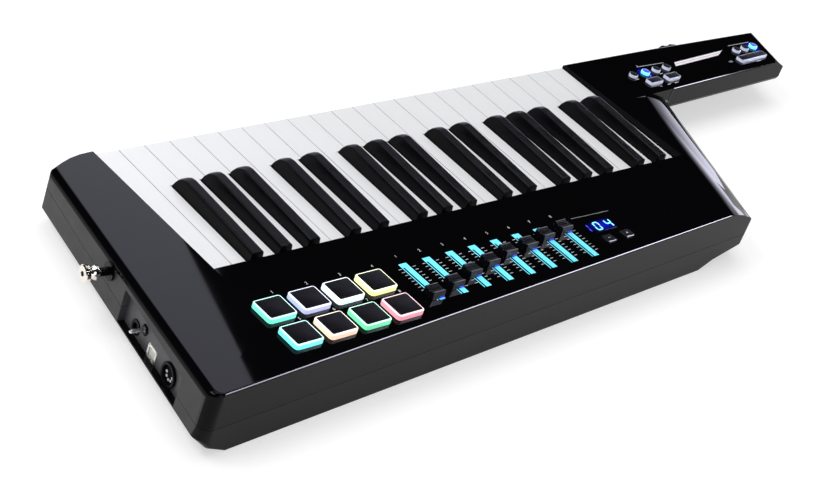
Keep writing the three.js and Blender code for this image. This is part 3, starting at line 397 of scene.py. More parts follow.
@dataclass
class Places:
    """Where the key frame, the panel and the treble end wall lie, in metres.

    In `panel` coordinates Z is the rise above the panel's face; in `wall` coordinates X runs
    along the end wall towards the far edge, Y up and Z into the casing.
    """

    key: Matrix
    panel: Matrix
    wall: Matrix

    @classmethod
    def found(cls) -> "Places":
        """Find the places from the first white key's solid."""
        low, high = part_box("white_key_01")
        origin = Vector((low.x - HALF_KEY_GAP * MM, high.y - WHITE_LENGTH * MM, high.z))
        key = Matrix.Translation(origin)
        tilt = Matrix.Rotation(-math.atan(PANEL_SLOPE), 4, "X")
        foot = Matrix.Translation((0, -LEDGE_FAR * MM, PANEL_RISE * MM))
        back = Matrix.Translation((0, LEDGE_FAR * MM, 0))
        run = Vector((WALL_LEAN, 1, 0)).normalized()
        inward = Vector((run.y, -run.x, 0))
        turn = Matrix((run, UP, inward)).transposed().to_4x4()
        wall = key @ Matrix.Translation((WALL_X * MM, 0, 0)) @ turn
        return cls(key, key @ foot @ tilt @ back, wall)

    def on_panel(self, x: float, y: float, rise: float = 0.0, turn: float = 0.0) -> Matrix:
        """A place on the panel's or neck's face.

        Args:
            x: millimetres along the keys.
            y: millimetres towards the far edge.
            rise: millimetres above the face.
            turn: degrees about the face's own normal.

        Returns:
            The matrix of the place.
        """
        spot = Matrix.Translation((x * MM, y * MM, rise * MM))
        return self.panel @ spot @ Matrix.Rotation(math.radians(turn), 4, "Z")

    def on_wall(self, y: float, drop: float, inward: float = PLATE_DEPTH) -> Matrix:
        """A place on the socket plate or the end wall, its Z pointing out of the casing.

        Args:
            y: millimetres towards the player from the keys' rear ends.
            drop: millimetres below the key tops.
            inward: millimetres in from the wall's face.

        Returns:
            The matrix of the place.
        """
        along = y * math.hypot(WALL_LEAN, 1)
        spot = Matrix.Translation((-along * MM, -drop * MM, inward * MM))
        return self.wall @ spot @ Matrix.Rotation(math.pi, 4, "Y")

    def between(self, start: Point, end: Point, rise: float) -> tuple[Matrix, float]:
        """The place midway between two on the face, turned along them, and their distance."""
        first, run = Vector(start), Vector(end) - Vector(start)
        middle = first + run / 2
        turn = math.degrees(math.atan2(run.y, run.x))
        return self.on_panel(middle.x, middle.y, rise, turn), run.length

    def depth(self, face: Face) -> float:
        """How many millimetres a face's middle lies in from the end wall."""
        inward = self.wall.to_3x3() @ UP
        return (face.calc_center_median() - self.wall.translation).dot(inward) / MM


def bevel(bm: Mesh, edges: Iterable, width: float, segments: int) -> None:
    """Round some edges of a mesh.

    Args:
        bm: the mesh.
        edges: the edges to round.
        width: the rounding's width.
        segments: how many faces it takes.
    """
    bmesh.ops.bevel(
        bm, geom=list(edges), offset=width, offset_type="OFFSET", segments=segments,
        profile=0.5, affect="EDGES", clamp_overlap=True, material=-1,
    )


def round_top(bm: Mesh, high: float, width: float, segments: int) -> None:
    """Round the edges that lie at the height of a block's top."""
    rim = [e for e in bm.edges if all(abs(v.co.z - high) < TINY for v in e.verts)]
    bevel(bm, rim, width, segments)


def slab(outline: Sequence[Point], low: float, high: float) -> Mesh:
    """A flat piece with straight sides.

    Args:
        outline: its corners, counter-clockwise.
        low: the height of its underside.
        high: the height of its top.

    Returns:
        The closed mesh.
    """
    bm = bmesh.new()
    corners = [bm.verts.new((x, y, low)) for x, y in outline]
    links = [bm.edges.new(pair) for pair in zip(corners, corners[1:] + corners[:1])]
    bmesh.ops.edgeloop_fill(bm, edges=links)
    grown = bmesh.ops.extrude_face_region(bm, geom=list(bm.faces))
    tops = [e for e in grown["geom"] if isinstance(e, bmesh.types.BMVert)]
    bmesh.ops.translate(bm, verts=tops, vec=(0, 0, high - low))
    bmesh.ops.recalc_face_normals(bm, faces=bm.faces)
    return bm


def bar(length: float, width: float, thick: float = 0.08) -> Mesh:
    """A flat bar, centred on the origin."""
    x, y = length / 2, width / 2
    return slab([(-x, -y), (x, -y), (x, y), (-x, y)], 0.0, thick)


def tablet(
    width: float, length: float, low: float, high: float, radius: float, edge: float
) -> Mesh:
    """A rounded block: a button, a pad or a lens.

    Args:
        width: its size along X.
        length: its size along Y.
        low: the height of its underside.
        high: the height of its top.
        radius: the radius of its upright corners.
        edge: the radius of its top edge, or 0.

    Returns:
        The closed mesh, centred on the origin.
    """
    bm = bmesh.new()
    bmesh.ops.create_cube(bm, size=1)
    bmesh.ops.scale(bm, vec=(width, length, high - low), verts=bm.verts)
    bmesh.ops.translate(bm, vec=(0, 0, (low + high) / 2), verts=bm.verts)
    upright = [e for e in bm.edges if abs(e.verts[0].co.z - e.verts[1].co.z) > TINY]
    bevel(bm, upright, radius, 5)
    if edge:
        round_top(bm, high, edge, 3)
    return bm


def turned(profile: Sequence[Point], steps: int = 32) -> Mesh:
    """A turned piece.

    Args:
        profile: its radius and height from one pole to the other, or round a ring.
        steps: how many faces go round it.

    Returns:
        The closed mesh.
    """
    bm = bmesh.new()
    chain = [bm.verts.new((r, 0, z)) for r, z in profile]
    links = [bm.edges.new(pair) for pair in zip(chain, chain[1:])]
    bmesh.ops.spin(
        bm, geom=[*chain, *links], cent=(0, 0, 0), axis=(0, 0, 1), dvec=(0, 0, 0),
        angle=math.tau, steps=steps, use_merge=True, use_duplicate=False,
    )
    bmesh.ops.remove_doubles(bm, verts=bm.verts, dist=1e-5)
    bmesh.ops.recalc_face_normals(bm, faces=bm.faces)
    return bm


def ring(inner: float, outer: float, low: float, high: float, steps: int) -> Mesh:
    """A square-edged ring between two radii and two heights."""
    profile = [(inner, low), (outer, low), (outer, high), (inner, high), (inner, low)]
    return turned(profile, steps)


def merged(parts: Sequence[Mesh]) -> Mesh:
    """Put several meshes into one."""
    whole = bmesh.new()
    for part in parts:
        held = bpy.data.meshes.new("held")
        part.to_mesh(held)
        whole.from_mesh(held)
        bpy.data.meshes.remove(held)
        part.free()
    return whole


def moved(bm: Mesh, x: float, y: float, z: float = 0.0, turn: float = 0.0) -> Mesh:
    """Turn a mesh about Z by some degrees, move it, and hand it back."""
    matrix = Matrix.Rotation(math.radians(turn), 3, "Z")
    bmesh.ops.rotate(bm, verts=bm.verts, cent=(0, 0, 0), matrix=matrix)
    bmesh.ops.translate(bm, verts=bm.verts, vec=(x, y, z))
    return bm


def cross(length: float, width: float, thick: float, rise: float) -> Mesh:
    """A screw head's cross recess as two bars, raised by some millimetres, which stand for the
    shade in the hollow.
    """
    return merged([moved(bar(length, width, thick), 0, 0, rise, turn) for turn in (0, 90)])


def rubber_key(bm: Mesh, top: float, rim: float, insets: Sequence[Point]) -> Mesh:
    """Split a rubber key's faces into its lit sides, its bright rim and its painted lid.

    Args:
        bm: the key as a block or a drum.
        top: the height of its top.
        rim: how far below the top the rim starts.
        insets: the steps from the rim to the lid, each with its width and its rise.

    Returns:
        The same mesh, with sides numbered 0, rim 1 and lid 2.
    """
    lids = [f for f in bm.faces if f.normal.z > 0.99 and abs(f.calc_center_median().z - top) < 1e-4]
    for face in bm.faces:
        face.material_index = int(face.calc_center_median().z > top - rim)
    for width, rise in insets:
        bmesh.ops.inset_region(bm, faces=lids, thickness=width, depth=rise, use_even_offset=True)
    for face in lids:
        face.material_index = 2
    return bm


def linked(name: str, data: bpy.types.ID) -> bpy.types.Object:
    """Make an object of some data and link it to the scene."""
    made = bpy.data.objects.new(name, data)
    bpy.context.scene.collection.objects.link(made)
    return made


def keep_flats(mesh: bpy.types.Mesh, smooth: float, share: float) -> None:
    """Shade a moulding so that its flats stay flat right up to their rounded edges.

    Args:
        mesh: the moulding's mesh.
        smooth: faces that meet at less than this many degrees are shaded as one surface.
        share: a flat is a plane that holds at least this share of the whole surface.
    """
    keys = [tuple(round(c, 2) for c in face.normal) for face in mesh.polygons]
    areas = dict.fromkeys(keys, 0.0)
    around: list[list] = [[] for _ in mesh.vertices]
    for key, face in zip(keys, mesh.polygons):
        areas[key] += face.area
        for corner in face.vertices:
            around[corner].append(face)
    least = share * sum(areas.values())
    flat = [areas[key] > least for key in keys]
    limit = math.cos(math.radians(smooth))
    normals = []
    for face in mesh.polygons:
        own = face.normal.copy()
        for corner in face.vertices:
            near = [f for f in around[corner] if f.normal.dot(own) > limit]
            planes = [f for f in near if flat[f.index]]
            if flat[face.index] or not near:
                normals.append(own)
            elif planes:
                normals.append(max(planes, key=lambda f: f.normal.dot(own)).normal.copy())
            else:
                normals.append(sum((f.normal * f.area for f in near), Vector()).normalized())
    mesh.normals_split_custom_set(normals)


@dataclass
class Maker:
    """Turns finished meshes into pieces that ride on the frame's bodies."""

    places: Places
    frame: dict
    count: int = 0
    merge_dist: float = 2e-6
    flat_angle: float = 0.02
    sharp_angle: float = 50.0
    least_edge: float = 3.0
    number_size: float = 4.05
    ink_thick: float = 0.03

    def piece(
        self, name: str, bm: Mesh, place: Matrix | None, finishes: Sequence[Finish],
        body: str = CASING, smooth: float = 35.0,
    ) -> bpy.types.Object:
        """Make one piece.

        Args:
            name: the piece's name.
            bm: its mesh, in millimetres, or in metres and in its place if place is None.
            place: where it goes, in metres.
            finishes: its finishes, in the order of its faces' material numbers.
            body: the body that it rides on.
            smooth: edges flatter than this many degrees are shaded smooth.

        Returns:
            The object, at the origin with its place in its mesh.
        """
        if place is not None:
            bmesh.ops.scale(bm, vec=(MM, MM, MM), verts=bm.verts)
            bmesh.ops.transform(bm, matrix=place, verts=bm.verts)
        mesh = bpy.data.meshes.new(name)
        bm.to_mesh(mesh)
        bm.free()
        mesh.shade_smooth()
        mesh.set_sharp_from_angle(angle=math.radians(smooth))
        for finish in finishes:
            mesh.materials.append(finish.material())
        made = linked(name, mesh)
        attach(made, body)
        self.count += 1
        log.info("%s rides on %s, %d faces", name, body, len(mesh.polygons))
        return made

    def refined(
        self, name: str, node: str, finishes: Sequence[Finish], body: str = CASING,
        smooth: float = 35.0, paint: Callable | None = None, soften_mm: float = 0.0,
        flat_share: float = 0.02,
    ) -> None:
        """Stand a smooth-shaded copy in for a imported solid.

        Args:
            name: the piece's name.
            node: the solid.
            finishes: the piece's finishes.
            body: the body that it rides on.
            smooth: edges flatter than this many degrees are shaded smooth.
            paint: gives a face of the copy its material number.
            soften_mm: the width of the rounding on long sharp edges, or 0.
            flat_share: a flat is a plane that holds at least this share of the surface.
        """
        bm = bmesh.new()
        bm.from_mesh(self.frame["nodes"][node].data)
        bmesh.ops.remove_doubles(bm, verts=bm.verts, dist=self.merge_dist)
        flat = math.radians(self.flat_angle)
        bmesh.ops.dissolve_limit(bm, angle_limit=flat, verts=bm.verts, edges=bm.edges)
        if soften_mm:
            convex = [e for e in bm.edges if e.is_manifold and e.is_convex]
            long = [e for e in convex if e.calc_length() > self.least_edge * MM]
            sharp = math.radians(self.sharp_angle)
            bevel(bm, [e for e in long if e.calc_face_angle(0) > sharp], soften_mm * MM, 2)
        for face in bm.faces:
            face.material_index = paint(face) if paint else 0
        made = self.piece(name, bm, None, finishes, body, smooth)
        keep_flats(made.data, smooth, flat_share)
        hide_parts(node)

    def dress(self, node: str, finish: Finish) -> None:
        """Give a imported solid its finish."""
        slots = self.frame["nodes"][node].data.materials
        slots.clear()
        slots.append(finish.material())
        log.info("%s is finished in %s", node, finish.name)

    def number(self, name: str, number: int, x: float, y: float) -> None:
        """Print a number on the panel in white ink.

        Args:
            name: the piece's name.
            number: what is printed.
            x: millimetres along the keys.
            y: millimetres towards the far edge.
        """
        curve = bpy.data.curves.new(name, "FONT")
        curve.body = str(number)
        curve.align_x, curve.align_y = "CENTER", "CENTER"
        curve.size = self.number_size
        curve.extrude = self.ink_thick
        curve.resolution_u = 3
        holder = bpy.data.objects.new(name, curve)
        flat = bpy.data.meshes.new_from_object(holder)
        bm = bmesh.new()
        bm.from_mesh(flat)
        bmesh.ops.remove_doubles(bm, verts=bm.verts, dist=1e-4)
        bpy.data.objects.remove(holder)
        bpy.data.meshes.remove(flat)
        bpy.data.curves.remove(curve)
        self.piece(name, bm, self.places.on_panel(x, y, 0.04), [INK_WHITE])


@dataclass
class Casing:
    """The two shells, the keybed frame, the battery door and the screws under them."""

    smooth: float = 29.0
    flat_share: float = 0.006
    wall_play: float = 0.2
    head_radius: float = 2.8
    head_thick: float = 1.6
    cross_length: float = 2.6
    cross_width: float = 0.6
    head_drop: float = 35.0
    screws: tuple = (
        (-60.3, -114.6), (131.2, -104.4), (292.7, -95.8),
        (427.8, -88.5), (-24.6, 123.9), (566.5, 128.0),
    )

    def build(self, maker: Maker) -> None:
        """Dress the casing and add its screws."""
        places = maker.places
        inward = places.wall.to_3x3() @ UP
        run = places.wall.to_3x3() @ Vector((1, 0, 0))

        def zone(face: Face) -> int:
            """Number the end wall's faces 1, those of the socket niche 2 and all others 0."""
            depth = places.depth(face)
            if abs(face.normal.dot(run)) > 0.9 and self.wall_play < depth < PLATE_DEPTH:
                return 2
            if face.normal.dot(inward) > -0.98:
                return 0
            on_plate = abs(depth - PLATE_DEPTH) < self.wall_play
            return 2 if on_plate else int(abs(depth) < self.wall_play)

        # The end wall's faces, numbered 1, take the lighter grey that is painted light on that
        # side.
        for name, node, finish in (
            ("upper_casing", "top_shell", PIANO_BLACK),
            ("lower_casing", "bottom_shell", BELLY_BLACK),
        ):
            maker.refined(
                name, node, [finish, END_WALL_PAINTED_LIGHT, PLATE_GREY],
                smooth=self.smooth, paint=zone, flat_share=self.flat_share,
            )
        maker.dress("keybed_frame", FRAME_GREY)
        maker.dress("battery_door", BELLY_BLACK)
        r, h = self.head_radius, self.head_thick
        profile = [(0, 0.05), (r, 0.05), (r, h * 0.45), (r * 0.8, h * 0.85), (r * 0.45, h), (0, h)]
        for i, (x, y) in enumerate(self.screws):
            name = f"casing_screw_{i + 1}"
            place = places.key @ Matrix.Translation((x * MM, y * MM, -self.head_drop * MM))
            place = place @ Matrix.Rotation(math.pi, 4, "X")
            maker.piece(name, turned(profile, 28), place, [BLACK_STEEL])
            # The cross is two dark bars on the head: painted shade of the recess.
            recess_shade_bars = cross(self.cross_length, self.cross_width, 0.05, h)
            maker.piece(f"{name}_cross", recess_shade_bars, place, [CAP_BLACK])


@dataclass
class Keyboard:
    """Twenty-two white keys and fifteen black ones, each on its own body."""

    whites: int = 22
    blacks: int = 15
    soften: float = 0.35

    def build(self, maker: Maker) -> None:
        """Dress the keys."""
        kinds = (
            ("white_key", self.whites, KEY_WHITE, Slot.WHITE, 0.0),
            ("black_key", self.blacks, KEY_BLACK, Slot.SATIN, self.soften),
        )
        for kind, count, finish, slot, soften in kinds:
            for i in range(1, count + 1):
                node = f"{kind}_{i:02d}"
                maker.refined(f"{node}_moulding", node, [finish], node, soften_mm=soften)


@dataclass
class PadBank:
    """Eight square pads: lit rubber skirts with black tops, each in its own colour."""

    columns: int = 4
    first_x: float = 10.6
    pitch_x: float = 31.6
    first_y: float = -63.2
    pitch_y: float = 30.0
    width: float = 24.8
    length: float = 22.0
    foot: float = -2.6
    rise: float = 4.0
    radius: float = 2.5
    edge: float = 0.7
    rim: float = 0.75
    insets: tuple = ((0.35, 0.0), (0.15, 0.08))
    skirt_pale: float = 0.1
    skirt_glow: float = 1.05
    rim_pale: float = 0.6
    rim_glow: float = 0.95
    number_x: float = 12.9
    numbers_y: tuple = (-44.7, -76.2)
    lamps: tuple = (
        Lamp.MINT, Lamp.LAVENDER, Lamp.FROST, Lamp.LEMON,
        Lamp.CYAN, Lamp.PEACH, Lamp.GREEN, Lamp.ROSE,
    )

    def build(self, maker: Maker) -> None:
        """Make the pads and their printed numbers."""
        for i, lamp in enumerate(self.lamps):
            row, column = divmod(i, self.columns)
            x = self.first_x + column * self.pitch_x
            y = self.first_y - row * self.pitch_y
            block = tablet(self.width, self.length, self.foot, self.rise, self.radius, self.edge)
            key = rubber_key(block, self.rise, self.rim, self.insets)
            silicone = f"lit_silicone_{lamp.name.lower()}"
            skirt = Lit(silicone, pale(lamp.value, self.skirt_pale), self.skirt_glow)
            edge = Lit(f"{silicone}_rim", pale(lamp.value, self.rim_pale), self.rim_glow)
            place = maker.places.on_panel(x, y)
            maker.piece(f"pad_{i + 1}", key, place, [skirt, edge, PAD_BLACK])
            maker.number(f"pad_number_{i + 1}", i + 1, x + self.number_x, self.numbers_y[row])
        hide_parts("pad_mat")


@dataclass
class FaderBank:
    """Eight faders: their lit guides, scales, numbers and cap marks."""

    first_x: float = 139.7
    pitch: float = 24.1
    far: float = -50.1
    near: float = -95.2
    lintel: float = 4.4
    glow_colour: str = "#5ECDE4"
    glow_first: float = 0.95
    glow_step: float = 0.055
    thin: float = 0.75
    slot: float = 1.7
    wide: float = 7.7
    tick_first: float = -55.6
    tick_pitch: float = 3.68
    tick_columns: tuple = (-2.6, 11.3)
    ticks: int = 10
    tick_length: float = 3.0
    tick_width: float = 0.5
    number_x: float = 5.4
    number_y: float = -41.2
    cap_x: float = 1.6
    cap_width: float = 12.0
    cap_length: float = 11.0
    cap_rise: float = 6.5
    lens_x: float = 3.4
    # The sizes of that glowing chip of painted light at a cap's foot.
    lens: tuple = (4.6, 0.5, 0.35, 1.6, 0.2, 0)
    rests: tuple = (0, 0.14, 0.35, 0.52, 0.69, 0.74, 0.9, 1)
    travel: float = 30.0
    rest_back: float = -88.5

    def guide(self) -> Mesh:
        """The light guide round the slot's far end, its left edge at X 0."""
        inner = self.far - self.lintel
        left, right = self.thin, self.thin + self.slot
        outline = [
            (0, self.near), (left, self.near), (left, inner), (right, inner),
            (right, self.near), (self.wide, self.near), (self.wide, self.far), (0, self.far),
        ]
        return slab(outline, -0.3, 0.12)

    def scale(self) -> Mesh:
        """The two columns of printed ticks."""
        rows = [self.tick_first - i * self.tick_pitch for i in range(self.ticks)]
        spots = [(x, y) for y in rows for x in self.tick_columns]
        return merged([moved(bar(self.tick_length, self.tick_width), x, y, 0.02) for x, y in spots])

    def marks(self) -> Mesh:
        """The grey lines on a cap: a wide one across its middle and a thin one at either end."""
        parts = [moved(bar(self.cap_width - 0.6, 0.55, 0.1), 0, 0, self.cap_rise - 1.8)]
        end = self.cap_length / 2 - 1.1
        for y in (end, -end):
            parts.append(moved(bar(self.cap_width - 1.4, 0.3, 0.1), 0, y, self.cap_rise - 0.25))
        return merged(parts)

    def build(self, maker: Maker) -> None:
        """Make the faders' lit and printed parts and dress their caps."""
        for i, rest in enumerate(self.rests):
            n = i + 1
            x = self.first_x + i * self.pitch
            slot = maker.places.on_panel(x, 0)
            glow = self.glow_first - self.glow_step * i
            lit = Lit(f"lit_light_guide_{n}", self.glow_colour, glow, patch_mm=14, dim_share=0.88)
            maker.piece(f"fader_guide_{n}", self.guide(), slot, [lit])
            maker.piece(f"fader_scale_{n}", self.scale(), slot, [INK_WHITE])
            maker.number(f"fader_number_{n}", n, x + self.number_x, self.number_y)
            cap = f"fader_cap_{n}"
            maker.dress(cap, CAP_BLACK)
            place = maker.places.on_panel(x + self.cap_x, self.rest_back + rest * self.travel)
            maker.piece(f"fader_mark_{n}", self.marks(), place, [INK_GREY], cap)
            # A glowing chip rides at the cap's foot: painted light of the guide's glow spilling
            # under it.
            lens = moved(tablet(*self.lens), self.lens_x, -self.cap_length / 2 - 0.05)
            maker.piece(f"fader_lens_{n}", lens, place, [CAP_FOOT_PAINTED_GLOW], cap)


@dataclass
class Display:
    """The lit three-digit display, the line above it and the signs of the two buttons below."""

    x: float = 350.6
    y: float = -64.8
    lens_width: float = 27.0
    lens_length: float = 13.0
    glow_x: float = 352.1
    glow_reach: tuple = (17.0, 8.0, 8.0)
    digit_width: float = 5.4
    digit_height: float = 9.2
    stroke: float = 1.2
    slant: float = 0.16
    digit_rise: float = 0.1
    digits: tuple = (
        (338.4, "ef", DIGIT_DIM), (346.0, "abcdef", DIGIT_LIT), (359.5, "bcfg", DIGIT_LIT),
    )
    line: tuple = (351.9, -50.3, 0.02, -2.1)
    line_length: float = 43.3
    sign_length: float = 2.2
    stroke_width: float = 0.5
    sign_rise: float = 1.28
    signs: tuple = ((342.3, -81.4, (0,)), (364.0, -81.4, (0, 90)))

    def segments(self, letters: str) -> Mesh:
        """One digit built from its lit segments, named a to g from the top round to the middle."""
        w, h, cut = self.digit_width / 2, self.digit_height / 2, self.stroke / 2
        spots = {
            "a": (0, h, 0), "d": (0, -h, 0), "g": (0, 0, 0),
            "b": (w, h / 2, 90), "c": (w, -h / 2, 90), "e": (-w, -h / 2, 90), "f": (-w, h / 2, 90),
        }
        parts = []
        for letter in letters:
            x, y, turn = spots[letter]
            run = (self.digit_height / 2 if turn else self.digit_width) / 2 - 0.2
            outline = [
                (-run, 0), (cut - run, -cut), (run - cut, -cut),
                (run, 0), (run - cut, cut), (cut - run, cut),
            ]
            parts.append(moved(slab(outline, 0, 0.12), x + y * self.slant, y, 0, turn))
        return merged(parts)

    def build(self, maker: Maker) -> None:
        """Make the lens, the digits, the line and the buttons' signs."""
        places = maker.places
        centre = tuple(places.on_panel(self.glow_x, self.y).translation)
        reach = tuple(r * MM for r in self.glow_reach)
        glass = Halo("display_lens", "#040408", "#1416C8", 1.0, centre, reach)
        block = tablet(self.lens_width, self.lens_length, -0.3, 0.06, 1.2, 0)
        maker.piece("display_lens", block, places.on_panel(self.x, self.y), [glass])
        for i, (x, letters, finish) in enumerate(self.digits):
            place = places.on_panel(x, self.y, self.digit_rise)
            maker.piece(f"display_digit_{i + 1}", self.segments(letters), place, [finish])
        line = bar(self.line_length, self.stroke_width)
        maker.piece("display_line", line, places.on_panel(*self.line), [INK_GREY])
        for i, (x, y, turns) in enumerate(self.signs):
            node = f"panel_button_{i + 1}"
            maker.dress(node, CAP_BLACK)
            size = (self.sign_length, self.stroke_width)
            sign = merged([moved(bar(*size), 0, 0, 0, turn) for turn in turns])
            place = places.on_panel(x, y, self.sign_rise)
            maker.piece(f"{node}_sign", sign, place, [INK_WHITE], node)


@dataclass
class NeckControls:
    """The neck's rubber keys, touch strip, printed lines and wheel."""

    root_x: float = 600.5
    root_y: float = 80.4
    lean: float = math.degrees(math.atan2(8.5, 191))
    foot: float = -2.6
    rise: float = 2.6
    rim: float = 0.35
    dome_radius: float = 4.2
    dome_insets: tuple = ((0.1, 0.05),)
    dome_in: float = 29.8
    halo_radius: float = 8.4
    root_domes: tuple = (-21.5, -3.4, 12.6, 28.6)
    tip_domes: tuple = (142.0, 156.0, 170.0)
    lit_domes: tuple = ("root_2", "tip_3")
    lit: tuple = (SKY_SIDE, SKY_RIM, SKY_LID)
    unlit: tuple = (MILK_SIDE, MILK_RIM, PAD_BLACK)
    button_in: float = 15.2
    button_length: float = 8.4
    button_insets: tuple = ((0.08, 0.0), (0.15, 0.06))
    buttons: tuple = (("root_1", -7.4, 18.0), ("root_2", 19.5, 18.0), ("tip", 148.6, 42.0))
    strip: tuple = ((642.3, 111.4), (711.3, 115.2), (724.5, 121.4), (646.6, 117.3))
    marks: tuple = (
        ("neck_line_root", (595.5, 121.0), (633.0, 120.0), 0.5, INK_WHITE),
        ("neck_tick_root", (597.3, 121.0), (597.3, 123.4), 0.5, INK_WHITE),
        ("neck_line_tip", (740.0, 126.5), (773.2, 126.5), 0.5, INK_WHITE),
        ("neck_mark_grey", (713.5, 102.3), (718.9, 102.5), 2.2, INK_GREY),
    )
    dash_width: float = 0.8
    dashes: tuple = (
        (604.2, 87.8, 609.0, 88.0), (614.9, 88.1, 620.7, 88.4), (593.0, 87.2, 595.2, 87.3),
        (749.2, 95.2, 756.0, 95.5), (576.5, 103.4, 579.9, 103.6), (611.5, 104.8, 615.9, 105.0),
        (596.5, 104.6, 598.7, 104.7),
    )

    def spot(self, maker: Maker, along: float, inward: float) -> Matrix:
        """A place by its distance along the neck and in from its front wall."""
        turn = math.radians(self.lean)
        x = self.root_x + along * math.cos(turn) - inward * math.sin(turn)
        y = self.root_y + along * math.sin(turn) + inward * math.cos(turn)
        return maker.places.on_panel(x, y, 0.0, self.lean)

    def build(self, maker: Maker) -> None:
        """Make everything on the neck's face and dress the wheel."""
        for name, along, width in self.buttons:
            block = tablet(width, self.button_length, self.foot, self.rise, 1.6, 0.5)
            key = rubber_key(block, self.rise, self.rim, self.button_insets)
            node = f"neck_button_{name}"
            place = self.spot(maker, along, self.button_in)
            made = maker.piece(f"{node}_key", key, place, self.unlit, node)
            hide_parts(node)
        self.domes(maker, "root", self.root_domes)
        self.domes(maker, "tip", self.tip_domes)
        self.touch_strip(maker)
        marks = list(self.marks)
        for i, (x, y, end_x, end_y) in enumerate(self.dashes):
            dash = (f"neck_dash_{i + 1}", (x, y), (end_x, end_y), self.dash_width, INK_WHITE)
            marks.append(dash)
        for name, start, end, width, ink in marks:
            place, length = maker.places.between(start, end, 0.02)
            maker.piece(name, bar(length, width), place, [ink])
        wheel = "pitch_wheel"
        maker.refined(f"{wheel}_rubber", wheel, [PAD_BLACK], wheel, smooth=40)

    def dome(self) -> Mesh:
        """A round key, with its sides numbered 0, its rim 1 and its lid 2."""
        r, top = self.dome_radius, self.rise
        side = [(0, self.foot), (r, self.foot), (r, top - 0.6), (r - 0.1, top - 0.2)]
        key = turned([*side, (r - 0.3, top), (0, top)])
        return rubber_key(key, top, self.rim, self.dome_insets)

    def domes(self, maker: Maker, end: str, places: Sequence[float]) -> None:
        """Make one keypad's round keys, with a disc of painted blue glow round each that has a
        lamp: its light spilled onto the face, as painted light.

        Args:
            maker: makes the pieces.
            end: which end of the neck, as in the keypad's name.
            places: how far along the neck each key is.
        """
        for i, along in enumerate(places):
            name = f"{end}_{i + 1}"
            place = self.spot(maker, along, self.dome_in)
            finishes = self.unlit
            if name in self.lit_domes:
                finishes = self.lit
                # The disc paints the pool of blue light that the key's lamp spills onto the face
                # round it.
                face = Halo(
                    f"neck_glow_{name}_face", "#040405", "#1C22F0", 1.6, tuple(place.translation),
                    (self.halo_radius * MM,) * 3, roughness=0.02, shine=0.14,
                )
                disc = ring(self.dome_radius + 0.2, self.halo_radius, -0.1, 0.04, 40)
                maker.piece(f"neck_glow_{name}", disc, place, [face])
            made = maker.piece(f"neck_round_{name}", self.dome(), place, finishes)
            if i == 0:
                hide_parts(f"neck_keypad_{end}")

    def touch_strip(self, maker: Maker) -> None:
        """Make the film strip with its pointed end and its centre line."""
        film = slab(self.strip, -0.1, 0.2)
        maker.piece("touch_strip", film, maker.places.on_panel(0, 0), [STRIP_FILM])
        near, near_tip, far_tip, far = map(Vector, self.strip)
        place, length = maker.places.between((near + far) / 2, (near_tip + far_tip) / 2, 0.2)
        line = bar(length - 3, 0.5, 0.06)
        maker.piece("touch_strip_line", line, place, [STRIP_LINE])


